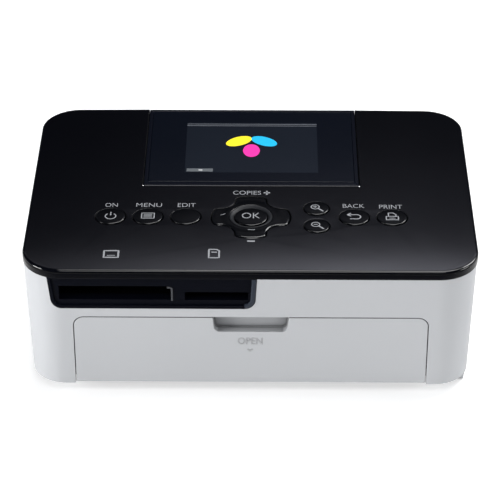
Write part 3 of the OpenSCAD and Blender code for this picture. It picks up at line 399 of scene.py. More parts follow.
def keyCap(name, look):
    # dark flat tops with a glossier lacquer on every slope
    f = Finish(name)
    cloud = f.noise(60, 3)
    wear = f.edges(0.3, 2.0) * f.clamp((f.noise(500, 2) - 0.45) * 4) * 0.2
    tone = f.mix(cloud, colour(look["colour"], 0.85), colour(look["colour"], 1.15))
    f.set(Base_Color=f.mix(wear, tone, colour(look["wornColour"])), IOR=look["ior"])
    f.set(Roughness=f.clamp(look["roughness"] + (f.noise(90, 4) - 0.5) * 0.08))
    facing = f.node("ShaderNodeSeparateXYZ", None,
                    {0: Wire(f, f.node("ShaderNodeNewGeometry").outputs["Normal"])})
    upright = f.math("ABSOLUTE", Wire(f, facing.outputs[2]))
    slope = f.clamp((1 - upright - 0.004) * 30) * f.clamp((upright - 0.5) * 5)
    f.set(Coat_Weight=slope, Coat_Roughness=look["coatRoughness"], Coat_IOR=1.5)
    f.bump(f.noise(1000, 2), 0.002)
    return f.material


def circuitBoard(name, look):
    # solder mask over a lattice of traces, with pads where cells meet
    f = Finish(name)
    x, y, _ = f.axes()
    trace = f.math("ABSOLUTE", f.math("FRACT", x * 420) - 0.5)
    cross = f.math("ABSOLUTE", f.math("FRACT", y * 310) - 0.5)
    patch = f.noise(90, 1) > 0.5
    lines = (trace < 0.14) * patch + (cross < 0.12) * (1 - patch)
    cell = f.cells(260)
    pad = cell < 0.16
    mask = f.mix(f.clamp(lines), colour(look["mask"]), colour(look["trace"]))
    f.set(Base_Color=f.mix(pad, mask, colour(look["pad"])))
    f.set(Roughness=f.clamp(0.38 - pad * 0.12 + (f.noise(200) - 0.5) * 0.1), Metallic=pad * 0.9)
    f.bump(f.clamp(lines * 0.5 + pad), 0.03)
    return f.material


def boxMask(f, a, b, centre, half):
    # 1 inside a rectangle of the a and b coordinates, in millimetres
    da = f.math("ABSOLUTE", a - centre[0] * mm)
    db = f.math("ABSOLUTE", b - centre[1] * mm)
    return (da < half[0] * mm) * (db < half[1] * mm)


def petalMask(x, y, petal):
    # 1 inside an ellipse turned about its own middle
    cx, cy, length, width, turn = petal
    c, s = math.cos(math.radians(turn)), math.sin(math.radians(turn))
    dx, dy = x - cx * mm, y - cy * mm
    u = (dx * c + dy * s) / (length * mm)
    v = (dy * c - dx * s) / (width * mm)
    return (u * u + v * v) < 1.0


screenLook = {
    "pane": (0.0015, 0.0025, 0.0055),
    "picture": (0.0065, 0.0088, 0.014),
    "bar": (0.10, 0.11, 0.12),
    "line": (0.16, 0.17, 0.19),
    "mark": (0.45, 0.46, 0.47),
    "middle": (0.0, 31.4),
    "half": (27.45, 20.6),
    "lineDepths": (1.2, 2.6),
    "lineHalf": 0.16,
    "barAt": (-21.3, 12.6),
    "barHalf": (5.4, 1.2),
    "markAt": (-21.0, 12.6),
    "markHalf": (0.8, 0.45),
    "petals": [((0.90, 0.72, 0.03), (-5.4, 36.4, 6.0, 3.4, 32)),
               ((0.02, 0.42, 0.72), (5.2, 36.4, 6.0, 3.4, -32)),
               ((0.78, 0.04, 0.33), (-0.1, 28.6, 5.2, 3.5, 90))],
}


def screenPane(name, look):
    # polished smoked pane with the picture showing under it
    f = Finish(name)
    x, y, _ = f.axes()
    picture = boxMask(f, x, y, look["middle"], look["half"])
    glow = f.noise(18, 2)
    shown = f.mix(glow, colour(look["picture"], 0.85), colour(look["picture"], 1.15))
    rear = look["middle"][1] + look["half"][1]
    for depth in look["lineDepths"]:
        line = boxMask(f, x, y, (0, rear - depth), (look["half"][0], look["lineHalf"]))
        shown = f.mix(line, shown, colour(look["line"]))
    shown = f.mix(boxMask(f, x, y, look["barAt"], look["barHalf"]), shown, colour(look["bar"]))
    shown = f.mix(boxMask(f, x, y, look["markAt"], look["markHalf"]), shown, colour(look["mark"]))
    for tint, petal in look["petals"]:
        shown = f.mix(petalMask(x, y, petal), shown, colour(tint))
    base = f.mix(picture, colour(look["pane"]), shown)
    smear = f.noise(40, 4, 0.6)
    f.set(Base_Color=base, Roughness=f.clamp(0.09 + (smear - 0.5) * 0.03), IOR=1.5)
    f.set(Emission_Color=base, Emission_Strength=0.35)
    f.bump(f.noise(60, 1), 0.004)
    return f.material


plastics = {
    "whiteShell": {
        "seam": 1.6, "hollow": 6.0, "colour": (0.45, 0.46, 0.475), "mottle": 0.02, "wear": 0.25,
        "wornColour": (0.8, 0.8, 0.8), "roughness": 0.42, "smear": 0.08, "grainScale": 2600,
        "grainHeight": 0.006,
    },
    # the embossed letters are the door's own white plastic; their darker colour is painted shade of the
    # embossing
    "embossedWhitePaintedShade": {
        "colour": (0.385, 0.39, 0.40), "mottle": 0.02, "wear": 0.1, "wornColour": (0.8, 0.8, 0.8),
        "roughness": 0.4, "smear": 0.05, "grainScale": 2600, "grainHeight": 0.004,
    },
    "greyBase": {
        "seam": 1.2, "colour": (0.44, 0.45, 0.465), "mottle": 0.04, "wear": 0.4,
        "wornColour": (0.5, 0.5, 0.5), "roughness": 0.5, "grainScale": 2200, "grainHeight": 0.01,
    },
    "footRubber": {
        "colour": (0.03, 0.03, 0.03), "mottle": 0.15, "wear": 0.5, "wornColour": (0.12, 0.12, 0.12),
        "roughness": 0.85, "grainScale": 1800, "grainHeight": 0.03,
    },
    "glossCover": {
        "seam": 0.9, "colour": (0.0012, 0.0014, 0.0026), "wear": 0.15,
        "wornColour": (0.02, 0.02, 0.025), "roughness": 0.085, "smear": 0.03, "grainScale": 900,
        "grainHeight": 0.0008,
    },
    "lidNavy": {
        "colour": (0.0025, 0.0035, 0.0075), "wear": 0.15, "wornColour": (0.02, 0.02, 0.025),
        "roughness": 0.09, "smear": 0.03, "grainScale": 900, "grainHeight": 0.0008,
    },
    "navyBezel": {
        "colour": (0.0022, 0.0028, 0.006), "wear": 0.1, "wornColour": (0.03, 0.033, 0.045),
        "roughness": 0.26, "smear": 0.04, "ior": 1.25, "grainScale": 1200, "grainHeight": 0.001,
    },
    # lighter than the bezel's own navy: a painted highlight on its rounded right rim
    "bezelPaintedHighlight": {
        "colour": (0.026, 0.032, 0.044), "wear": 0.1, "wornColour": (0.03, 0.033, 0.045),
        "roughness": 0.24, "smear": 0.04, "grainScale": 1200, "grainHeight": 0.001,
    },
    # lighter than the bezel's own navy: a painted highlight on the slot's rounded lip
    "slotLipPaintedHighlight": {
        "colour": (0.05, 0.052, 0.058), "wear": 0.2, "wornColour": (0.1, 0.1, 0.11), "roughness": 0.25,
        "smear": 0.05, "grainScale": 1200, "grainHeight": 0.002,
    },
    "ringGrey": {
        "colour": (0.018, 0.019, 0.022), "mottle": 0.05, "wear": 0.4, "wornColour": (0.1, 0.1, 0.1),
        "roughness": 0.42, "smear": 0.06, "ior": 1.3, "grainScale": 1500, "grainHeight": 0.003,
    },
    "darkPlastic": {
        "colour": (0.02, 0.02, 0.022), "wear": 0.4, "wornColour": (0.09, 0.09, 0.09), "roughness": 0.5,
        "grainScale": 1600, "grainHeight": 0.01,
    },
    "keypadRubber": {
        "colour": (0.05, 0.05, 0.052), "wear": 0.2, "wornColour": (0.1, 0.1, 0.1), "roughness": 0.75,
        "grainScale": 1500, "grainHeight": 0.01,
    },
    "rollerRubber": {
        "colour": (0.028, 0.028, 0.03), "mottle": 0.15, "wear": 0.3, "wornColour": (0.1, 0.1, 0.1),
        "roughness": 0.7, "smear": 0.15, "grainScale": 1300, "grainHeight": 0.02,
    },
    "acetal": {
        "colour": (0.74, 0.73, 0.68), "mottle": 0.03, "wear": 0.3, "wornColour": (0.55, 0.53, 0.48),
        "roughness": 0.35, "smear": 0.08, "grainScale": 1300, "grainHeight": 0.004,
    },
    "inkCase": {
        "colour": (0.12, 0.125, 0.135), "mottle": 0.05, "wear": 0.4, "wornColour": (0.3, 0.3, 0.31),
        "roughness": 0.42, "grainScale": 1800, "grainHeight": 0.008,
    },
    "inkFilm": {
        "colour": (0.05, 0.015, 0.03), "mottle": 0.3, "wear": 0.1, "wornColour": (0.1, 0.05, 0.08),
        "roughness": 0.16, "grainScale": 500, "grainHeight": 0.01,
    },
    "spoolPlastic": {
        "colour": (0.08, 0.09, 0.11), "mottle": 0.08, "wear": 0.3, "wornColour": (0.2, 0.2, 0.22),
        "roughness": 0.4, "grainScale": 1600, "grainHeight": 0.006,
    },
    "ceramic": {
        "colour": (0.45, 0.40, 0.30), "mottle": 0.05, "wear": 0.2, "wornColour": (0.7, 0.66, 0.55),
        "roughness": 0.25, "smear": 0.05, "grainScale": 2200, "grainHeight": 0.003,
    },
    "printedWhite": {
        "colour": (0.31, 0.32, 0.34), "mottle": 0.03, "wear": 0.1, "wornColour": (0.3, 0.3, 0.3),
        "roughness": 0.5, "smear": 0.05, "grainScale": 2600, "grainHeight": 0.002,
    },
}
metals = {
    "zincSteel": {"colour": (0.56, 0.57, 0.59), "mottle": 0.14, "roughness": 0.36, "smear": 0.2,
                  "grainHeight": 0.004},
    # near-black steel for the card readers: painted shade for the inside of the card slots
    "readerSteelPaintedShade": {"colour": (0.012, 0.012, 0.014), "mottle": 0.14, "roughness": 0.6, "smear": 0.2,
                    "grainHeight": 0.004},
    "rollerSteel": {"colour": (0.58, 0.58, 0.6), "mottle": 0.06, "roughness": 0.22, "smear": 0.15,
                    "grainHeight": 0.003, "stretch": (1, 8, 8)},
    "heatsink": {"colour": (0.62, 0.63, 0.65), "mottle": 0.08, "roughness": 0.42, "smear": 0.2,
                 "grainHeight": 0.006, "stretch": (0.1, 4, 4)},
    "motorSteel": {"colour": (0.46, 0.46, 0.48), "mottle": 0.1, "roughness": 0.3, "smear": 0.2,
                   "grainHeight": 0.003, "stretch": (8, 1, 1)},
}
finishes = {name: moulded(name, look) for name, look in plastics.items()}
finishes.update({name: rolledSteel(name, look) for name, look in metals.items()})
boardLook = {"mask": (0.01, 0.09, 0.035), "trace": (0.03, 0.2, 0.08), "pad": (0.75, 0.6, 0.3)}
keyLook = {
    "colour": (0.0018, 0.002, 0.0028), "wornColour": (0.03, 0.03, 0.03), "ior": 1.18, "roughness": 0.22,
    "coatRoughness": 0.14,
}
finishes["circuitBoard"] = circuitBoard("circuitBoard", boardLook)
finishes["keyBlack"] = keyCap("keyBlack", keyLook)
finishes["screenPane"] = screenPane("screenPane", screenLook)
print("finishes:", len(finishes))


# ---- top cover ----

topZ = 60.0
cover = {
    "arcX": 73.0, "arcY": 47.5, "corner": 16.0, "pocket": 44.3, "pocketMouth": 44.02, "pocketFront": -0.5,
    "pocketRear": 59.4, "lipDepth": 3.85, "lipIn": 2.3, "roofDepth": 2.0, "floorDepth": 9.4, "edge": 0.75,
    "groove": 0.25, "wall": 1.2, "keyGap": 0.42, "padGap": 0.35,
}
keyLine = -24.0
padAt = (0.1, keyLine)
# x, y and radius of each round key
roundKeys = {
    "power_button": (-55.9, keyLine, 5.9), "menu_button": (-41.0, keyLine, 5.9),
    "edit_button": (-25.9, keyLine, 5.9), "back_button": (41.3, keyLine, 5.9),
    "print_button": (56.4, keyLine, 5.9), "zoom_in_button": (26.3, keyLine + 6.6, 5.0),
    "zoom_out_button": (26.3, keyLine - 6.6, 5.0),
}
pad = {
    "armHalf": 6.15, "tip": 15.8, "tipR": 13.0, "cornerR": 2.0, "notchR": 6.3, "ring": 8.55, "rise": 0.4,
    "wallLow": 2.1,
}


def onTop(points, depth):
    depth = np.broadcast_to(np.asarray(depth, float), (len(points),))
    return np.concatenate([points, (topZ - depth)[:, None]], -1)


def padOutline(grow):
    # four arms, counter-clockwise: a tip arc between two corner arcs, then a hollow arc to the next arm
    tipAt, cornerY = pad["tip"] - pad["tipR"], pad["armHalf"] - pad["cornerR"]
    reach = pad["tipR"] - pad["cornerR"]
    cornerX = tipAt + math.sqrt(reach * reach - cornerY * cornerY)
    turn = math.degrees(math.asin(cornerY / reach))
    notchAt = pad["armHalf"] + pad["notchR"]
    arm = np.concatenate([
        arc((cornerX, -cornerY), pad["cornerR"] + grow, -90, -turn, 6),
        arc((tipAt, 0), pad["tipR"] + grow, -turn, turn, 12)[1:-1],
        arc((cornerX, cornerY), pad["cornerR"] + grow, turn, 90, 6),
        arc((notchAt, notchAt), pad["notchR"] - grow, -90, -180, 12)])
    loop = []
    for quarter in range(4):
        c, s = math.cos(quarter * math.pi / 2), math.sin(quarter * math.pi / 2)
        loop.append(arm @ np.array([[c, s], [-s, c]]))
    return np.concatenate(loop) + padAt


def coverLoop():
    x, y, r, p = cover["arcX"], cover["arcY"], cover["corner"], cover["pocket"]
    rear = y + r
    q, stop = cover["pocketMouth"], cover["pocketRear"]
    back = np.array([(q, rear), (q, stop + 0.05), (p, stop), (p, cover["pocketFront"]),
                     (-p, cover["pocketFront"]), (-p, stop), (-q, stop + 0.05), (-q, rear)])
    right = np.concatenate([arc((x, -y), r, -90, 0, 36), arc((x, y), r, 0, 90, 36)])
    left = np.concatenate([arc((-x, y), r, 90, 180, 36), arc((-x, -y), r, 180, 270, 36)])
    loop = np.concatenate([right, back, left])
    inPocket = np.zeros(len(loop), bool)
    inPocket[len(right):len(right) + len(back) - 1] = True  # edges of the pocket
    deep = np.zeros(len(loop), bool)
    deep[len(right) + 2:len(right) + len(back) - 2] = True  # corners down to the pocket floor
    return loop, inPocket, deep


def buildCover():
    loop, inPocket, deep = coverLoop()
    edge, groove, lip = cover["edge"], cover["groove"], cover["lipDepth"]
    rounded = [(1.5 * inset, depth) for inset, depth in quarterRound(edge, 5)]
    grooved = [(0, 1.0), (groove, 1.15), (groove, 1.35), (0, 1.5)]
    lipped = [(0, lip - 0.3), (0.08, lip - 0.08), (0.3, lip), (cover["lipIn"], lip),
              (cover["lipIn"], cover["roofDepth"])]
    outside = rounded + grooved + lipped
    lipStart = len(rounded) + len(grooved)
    small = quarterRound(0.18, 5)
    bottom = np.where(deep, cover["floorDepth"], lip)
    rim = []
    for k, (inset, depth) in enumerate(outside):
        if k < len(small):
            inner, down = small[k]
        else:
            inner, down = (cover["wall"] if k >= len(outside) - 2 else 0.0), depth
        low = np.where(inPocket | np.roll(inPocket, 1), down, depth)
        if lipStart <= k < len(outside) - 1:
            low = np.where(deep, bottom, low)
        rim.append((np.where(inPocket, inner, inset), low))
    rim[0] = (rim[0][0], np.zeros(len(loop)))
    rim[-1] = (rim[-1][0], np.full(len(loop), cover["roofDepth"]))
    holeRim = quarterRound(0.1, 2) + [(0, cover["roofDepth"])]
    holes = [arc((x, y), r + cover["keyGap"], 360, 0, 56)[:-1] for x, y, r in roundKeys.values()]
    holes.append(padOutline(cover["padGap"])[::-1])
    surface = Surface()
    surface.plate([loop] + holes, [rim] + [holeRim] * len(holes), onTop)
    makePiece("coverSkin", surface, "body", "glossCover", ["top_cover"],
              sharp=50)


# tray under the screen unit: floor with a cable slot, rear wall, two rests
tray = {
    "floorThick": 1.0, "slot": ((-14, 14), (8, 11), 1.2), "wallTop": 3.9, "wallHigh": 5.6,
    "restX": (-30, 30), "restHalf": 3, "restY": (51.4, 55.4), "restTop": 8.7, "restHigh": 0.75,
}


def buildTray():
    surface = Surface()
    wallThick = cover["wall"]
    p, front = cover["pocket"] + wallThick, cover["pocketFront"] - wallThick
    rearWall = cover["pocketRear"] + wallThick
    floor = roundedBox((-p, p), (front, rearWall), 0.4)
    slot = roundedBox(*tray["slot"])[::-1]
    rims = [quarterRound(0.15, 2) + [(0, tray["floorThick"])]] * 2
    surface.plate([floor, slot], rims, lambda points, depth: onTop(points, cover["floorDepth"] + depth))
    wall = roundedBox((-p, p), (cover["pocketRear"], rearWall), 0.3)
    surface.plate([wall], [quarterRound(0.2, 2) + [(0, tray["wallHigh"])]],
                  lambda points, depth: onTop(points, tray["wallTop"] + depth))
    for x in tray["restX"]:
        rest = roundedBox((x - tray["restHalf"], x + tray["restHalf"]), tray["restY"], 0.4)
        surface.plate([rest], [quarterRound(0.2, 2) + [(0, tray["restHigh"])]],
                      lambda points, depth: onTop(points, tray["restTop"] + depth))
    makePiece("screenPocket", surface, "body", "darkPlastic")


buildCover()
buildTray()
print("cover built")


# ---- screen unit ----

# the window is its half width, front and rear
screen = {
    "half": 43.9, "front": 0.0, "rear": 63.2, "lidDepth": 3.6, "boxRear": 58.0, "boxLow": 8.4,
    "window": (42.3, 3.4, 61.6), "windowDepth": 1.15, "paneGap": 0.1, "paneSunk": 0.05,
}


def buildScreen():
    surface = Surface()
    outer = roundedBox((-screen["half"], screen["half"]), (screen["front"], screen["rear"]), 0.35)
    share = np.full(len(outer), 1 / 3)  # the front edge is rounded more than the other three
    share[-1] = 1.0
    edge = [(inset * share, depth) for inset, depth in quarterRound(0.6, 5)]
    wide, near, far = screen["window"]
    opening = roundedBox((-wide, wide), (near, far), 0.6)[::-1]
    thick = screen["lidDepth"]
    outerRim = edge + [(0, thick - 0.2), (0.2, thick)]
    openingRim = quarterRound(0.12, 2) + [(0, screen["windowDepth"] + 1.2), (0, thick)]
    surface.plate([outer, opening], [outerRim, openingRim], onTop)
    box = roundedBox((-screen["half"], screen["half"]), (0.0, screen["boxRear"]), 0.6)
    lift = screen["lidDepth"] - 0.1
    low = screen["boxLow"] - lift
    surface.plate([box], [[(0.3, 0), (0, 0.3), (0, low - 0.5), (0.15, low - 0.15), (0.5, low)]],
                  lambda points, depth: onTop(points, lift + depth))
    makePiece("screenLid", surface, "screen", "lidNavy", ["screen_housing"])
    pane = Surface()
    gap = screen["paneGap"]
    glass = roundedBox((gap - wide, wide - gap), (near + gap, far - gap), 0.5)
    pane.plate([glass], [quarterRound(0.1, 2) + [(0, screen["windowDepth"] - 0.1)]],
               lambda points, depth: onTop(points, depth + screen["paneSunk"]))
    makePiece("screenPaneGlass", pane, "screen", "screenPane", ["screen_window"])


buildScreen()


# ---- keys ----

keyShape = {
    "dome": 0.15, "rise": 0.46, "edge": 0.5, "wallLow": 2.1, "flange": 1.2, "flangeLow": 3.1, "low": 3.85,
}
okKey = {"radius": 6.55, "rise": 0.4, "flange": 0.9, "flangeThick": 0.6}


def domeHeight(distance, radius, top):
    # height on a ball of radius (r r + d d) / 2 d, whose top is at the given height
    d = keyShape["dome"]
    ball = (radius * radius + d * d) / (2 * d)
    return top - ball + np.sqrt(ball * ball - distance * distance)


def keyProfile(radius, top, flange, flangeSpan):
    edge = keyShape["edge"]
    rho = np.linspace(0.0, radius - edge, 10)
    dome = np.stack([rho, domeHeight(rho, radius, top)], -1)
    rim = [(radius - i, dome[-1, 1] - d) for i, d in quarterRound(edge, 5)[1:]]
    low = topZ - keyShape["low"]
    tail = [(radius, flangeSpan[1]), (radius + flange, flangeSpan[1]), (radius + flange, flangeSpan[0]),
            (radius, flangeSpan[0]), (radius, low), (0.0, low)]
    return np.concatenate([dome, rim, tail])


for node, (x, y, radius) in roundKeys.items():
    keyTop = topZ + keyShape["rise"]
    span = (topZ - keyShape["flangeLow"], topZ - keyShape["wallLow"])
    cap = Surface().turned((x, y), keyProfile(radius, keyTop, keyShape["flange"], span), 72)
    makePiece(node + "Cap", cap, node, "keyBlack", [node])

okLow = topZ - keyShape["low"]
okSpan = (okLow + 0.01, okLow + okKey["flangeThick"])
okProfile = keyProfile(okKey["radius"], topZ + okKey["rise"], okKey["flange"], okSpan)
okCap = Surface().turned(padAt, okProfile, 72)
makePiece("okCap", okCap, "ok_button", "keyBlack", ["ok_button"])

# raised ring round the middle key: radius and height of its section, which slopes up outwards to a crest
ringProfile = [
    (6.85, 58.0), (6.85, 59.55), (6.9, 59.7), (7.0, 59.8), (7.3, 60.0), (7.7, 60.28), (7.95, 60.43),
    (8.12, 60.49), (8.28, 60.48), (8.42, 60.38), (8.5, 60.2), (8.5, 58.0), (6.85, 58.0),
]
makePiece("okCollar", Surface().turned(padAt, ringProfile[::-1], 96), "nav_pad", "ringGrey",
          ["ok_ring"])


def padFall(away):
    # the lobes fall towards their tips, a ((d - 8.5) / 7)^2, and have a dish, b exp(-((d - 12.2) / 1.6)^2)
    return 0.28 * np.clip((away - 8.5) / 7.0, 0, 1) ** 2 + 0.12 * np.exp(-((away - 12.2) / 1.6) ** 2)


def buildPad():
    outline = padOutline(0)
    hole = arc(padAt, pad["ring"], 360, 0, 72)[:-1]
    step = np.arange(-16, 16.1, 0.8)
    inner = np.stack(np.meshgrid(step, step), -1).reshape(-1, 2) + padAt

    def crowned(points, depth):
        placed = onTop(points, depth)
        fall = padFall(np.linalg.norm(points - padAt, axis=-1))
        placed[:, 2] += pad["rise"] - fall * np.clip(1.5 - np.asarray(depth), 0, 1)
        return placed

    surface = Surface()
    wall = [(0, pad["wallLow"])]
    surface.plate([outline, hole], [quarterRound(1.0, 7) + wall, quarterRound(0.25, 3) + wall], crowned,
                  inner)
    makePiece("crossPad", surface, "nav_pad", "keyBlack", ["nav_pad"])


buildPad()
print("screen and keys built")


# ---- housing, doors and bezel ----

# the last value is how far the edges are rounded, in millimetres
softCopy("shellSkin", "body_shell", "body", "whiteShell", 0.25)
softCopy("paperDoorSkin", "paper_door", "paper_door", "whiteShell", 0.4)
softCopy("inkDoorSkin", "ink_door", "ink_door", "whiteShell", 0.25)
softCopy("cardBezelFace", "card_bezel", "body", "navyBezel", 0.2)
softCopy("baseTray", "base_plate", "body", "greyBase", 0.3)
print("housing built")


# ---- plain nodes get their finish ----

nodeFinish = {
    "rubber_feet": "footRubber", "case_screws": "zincSteel", "lcd_module": "zincSteel",
    "screen_hinge_pins": "rollerSteel", "nav_pivot_ring": "darkPlastic", "key_frame": "darkPlastic",
    "rubber_keypad": "keypadRubber", "key_board": "circuitBoard", "dome_switches": "rollerSteel",
    "tray_bay": "darkPlastic", "ink_cassette_case": "inkCase", "ink_supply_spool": "spoolPlastic",
    "ink_takeup_spool": "spoolPlastic", "ink_ribbon": "inkFilm", "ink_eject_lever": "inkCase",
    "chassis_left_plate": "zincSteel", "chassis_right_plate": "zincSteel", "chassis_rear_tie": "zincSteel",
    "gear_plate": "zincSteel", "paper_guide": "darkPlastic", "platen_roller": "rollerRubber",
    "feed_roller": "rollerSteel", "pinch_roller": "rollerRubber", "pickup_roller": "rollerRubber",
    "thermal_head": "ceramic", "head_heatsink": "heatsink", "head_arm": "zincSteel",
    "feed_motor": "motorSteel", "motor_pinion": "acetal", "idler_gear": "acetal", "feed_gear": "acetal",
    "takeup_gear": "acetal", "pickup_idler_gear": "acetal", "pickup_gear": "acetal",
    # the card readers take near-black steel, painted shade inside the card slots
    "main_board": "circuitBoard", "wide_card_reader": "readerSteelPaintedShade", "small_card_reader": "readerSteelPaintedShade",
    "power_board": "circuitBoard", "power_jack": "darkPlastic",
}
for node, name in nodeFinish.items():
    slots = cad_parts[node].data.materials
    slots.clear()
    slots.append(finishes[name])
print("nodes finished:", len(nodeFinish))


# ---- printed marks ----

def lettering(text, width, height, thick=0.03):
    # flat letters, scaled to the given width and height about their middle
    curve = bpy.data.curves.new("letters", "FONT")
    curve.body, curve.extrude, curve.resolution_u, curve.offset = text, 0.5, 6, -0.006
    holder = bpy.data.objects.new("letters", curve)
    bpy.context.scene.collection.objects.link(holder)
    bpy.context.view_layer.update()
    mesh = holder.evaluated_get(bpy.context.evaluated_depsgraph_get()).to_mesh()
    points = np.array([v.co[:] for v in mesh.vertices])
    faces = [list(p.vertices) for p in mesh.polygons]
    bpy.data.objects.remove(holder)
    low, high = points.min(0), points.max(0)
    points = (points - (low + high) / 2) / (high - low) * (width, height, thick)
    return points, faces


flatSection = [(1, 0.5), (1, -0.5), (-1, -0.5), (-1, 0.5)]


def stroke(path, width, closed=False, thick=0.03, section=flatSection):
    # S(u, v) = path(u) + across(v) side(u) + height(v) up, with six steps along each straight stretch
    path = np.asarray(path, float)
    ends = np.roll(path, -1, 0) if closed else path[1:]
    starts = path if closed else path[:-1]
    t = (np.arange(6) / 6)[None, :, None]
    path = (starts[:, None] * (1 - t) + ends[:, None] * t).reshape(-1, 2)
    if closed:
        along = unit(np.roll(path, -1, 0) - path) + unit(path - np.roll(path, 1, 0))
    else:
        path = np.concatenate([path, ends[-1:]])
        along = np.gradient(path, axis=0)
    side = unit(np.stack([-along[:, 1], along[:, 0]], -1)) * width / 2
    ring = [np.concatenate([path + across * side, np.full((len(path), 1), height * thick)], -1)
            for across, height in section]
    points = np.stack(ring, 1)  # along the path, round the section
    rows, cols = points.shape[:2]
    i = np.arange(rows * cols).reshape(rows, cols)
    j = np.roll(i, -1, 1)
    if closed:
        a, b, c, d = i, j, np.roll(j, -1, 0), np.roll(i, -1, 0)
    else:
        a, b, c, d = i[:-1], j[:-1], j[1:], i[1:]
    faces = np.stack([a, b, c, d], -1).reshape(-1, 4).tolist()
    if not closed:
        faces += [i[0][::-1].tolist(), i[-1].tolist()]
    return points.reshape(-1, 3), faces


def marksPiece(name, marks, place, body, finish="printedWhite"):
    surface = Surface()
    for (points, faces), (x, y) in marks:
        placed = place(points + (x, y, 0))
        surface.points.append(placed)
        surface.faces += [[i + surface.count for i in face] for face in faces]
        surface.count += len(placed)
    return makePiece(name, surface, body, finish, sharp=30, weigh=False)


coverMarkGap = 0.012
keyMarkGap = 0.006


def onCover(points):
    return points + (0, 0, topZ + coverMarkGap)


def lifted(points, centre, height):
    # the points on a surface whose height depends on the distance from the centre
    away = np.linalg.norm(points[:, :2] - centre, axis=-1)
    return np.concatenate([points[:, :2], (height(away) + points[:, 2])[:, None]], -1)


def onDome(centre, radius, top):
    return lambda points: lifted(points, centre, lambda away: domeHeight(away, radius, top) + keyMarkGap)


labelStroke = 0.45
# word, middle x and y, width and height
labels = [
    ("ON", -56.0, -15.3, 5.0, 2.8), ("MENU", -40.9, -15.2, 10.3, 2.8), ("EDIT", -25.8, -15.1, 7.2, 2.8),
    ("COPIES", -1.6, -5.4, 11.3, 2.9), ("BACK", 41.2, -15.3, 8.6, 2.9), ("PRINT", 56.1, -15.8, 9.2, 2.9),
]
signAt = {
    "plus": (6.4, -5.4), "minus": (0.25, -41.9), "wideCard": (-54.1, -51.6), "smallCard": (-14.1, -51.0),
}
wideCard = [(-2.8, -2.4), (2.8, -2.4), (2.8, 2.4), (-2.8, 2.4)]
smallCard = [(-2.0, -3.0), (2.0, -3.0), (2.0, 2.0), (1.0, 3.0), (-2.0, 3.0)]
coverMarks = [(lettering(text, w, h), (x, y)) for text, x, y, w, h in labels]
coverMarks += [
    (stroke([(-1.3, 0), (1.3, 0)], 0.7), signAt["plus"]),
    (stroke([(0, -1.5), (0, 1.5)], 0.7), signAt["plus"]),
    (stroke([(-1.5, 0), (1.5, 0)], 0.95), signAt["minus"]),
    (stroke(wideCard, 0.75, True), signAt["wideCard"]),
    (stroke([(-1.6, -1.0), (1.6, -1.0)], 0.4), signAt["wideCard"]),
    (stroke(smallCard, 0.7, True), signAt["smallCard"]),
    (stroke([(-1.0, 1.0), (1.2, 1.0)], 0.7), signAt["smallCard"]),
]
marksPiece("coverMarks", coverMarks, onCover, "body")


def lens(centre, radius):
    # a magnifier: ring, handle and the bar inside it
    (x, y), r = centre, radius
    return [stroke(arc(centre, r, 0, 345, 24), 0.42, True), stroke([(x - 0.8, y), (x + 0.8, y)], 0.4),
            stroke([(x + 0.75 * r, y - 0.75 * r), (x + 2.0 * r, y - 2.0 * r)], 0.6)]


backBow = np.concatenate([[(-2.4, 1.4)], arc((0.9, -0.2), 1.6, 90, -90, 12), [(-1.8, -1.8)]])
keyMarks = {
    "power_button": [stroke(arc((0, -0.4), 2.1, 125, 415, 28), 0.42), stroke([(0, 0.2), (0, 2.8)], 0.42)],
    "menu_button": [stroke([(-2.5, -1.9), (2.5, -1.9), (2.5, 2.0), (-2.5, 2.0)], labelStroke, True),
                    stroke([(-1.7, 0.95), (1.7, 0.95)], 0.4), stroke([(-1.7, 0.0), (1.7, 0.0)], 0.4),
                    stroke([(-1.7, -0.95), (1.7, -0.95)], 0.4)],
    "zoom_in_button": lens((-0.5, 0.6), 1.6) + [stroke([(-0.5, -0.2), (-0.5, 1.4)], 0.4)],
    "zoom_out_button": lens((-0.5, 0.6), 1.6),
    "back_button": [stroke(backBow, 0.5), stroke([(-1.3, 2.6), (-2.8, 1.4), (-1.3, 0.2)], 0.5)],
    "print_button": [stroke([(-2.4, -2.3), (2.4, -2.3), (2.4, 0.2), (-2.4, 0.2)], labelStroke, True),
                     stroke([(-1.5, 0.2), (-1.5, 2.8), (0.4, 2.8), (1.5, 1.6), (1.5, 0.2)], labelStroke),
                     stroke([(-1.2, -1.1), (1.2, -1.1)], 0.4)],
}
for node, strokes in keyMarks.items():
    x, y, radius = roundKeys[node]
    place = onDome((x, y), radius, topZ + keyShape["rise"])
    marksPiece(node + "Mark", [(s, (x, y)) for s in strokes], place, node)


def onPad(points):
    return lifted(points, padAt, lambda away: topZ + pad["rise"] - padFall(away))


# small raised guides for the fingers on two lobes
padTicks = [(stroke([(-1.4, 0), (1.4, 0)], 0.28, thick=0.14), (0.3, -34.1)),
            (stroke([(-0.9, -0.4), (0.9, 0.4)], 0.28, thick=0.14), (-11.1, -22.6))]
marksPiece("padTicks", padTicks, onPad, "nav_pad")
okMark = (lettering("OK", 7.3, 4.1), (padAt[0], padAt[1] + 0.5))
marksPiece("okMark", [okMark], onDome(padAt, okKey["radius"], topZ + okKey["rise"]), "ok_button")


# the front wall leans in towards the table, so the radius of its corners shrinks downwards
frontWall = {"arcY": 47.5, "radius": 15.7, "top": 56.15, "lean": 1.7, "height": 50.85, "bezelSunk": 0.8}


def skinRadius(z):
    return frontWall["radius"] - (frontWall["top"] - z) * frontWall["lean"] / frontWall["height"]


def onDoor(points):
    # X stays, Y becomes height on the leaning front wall, Z stands out of it
    out = -frontWall["arcY"] - skinRadius(points[:, 1]) - points[:, 2]
    return np.stack([points[:, 0], out, points[:, 1]], -1)


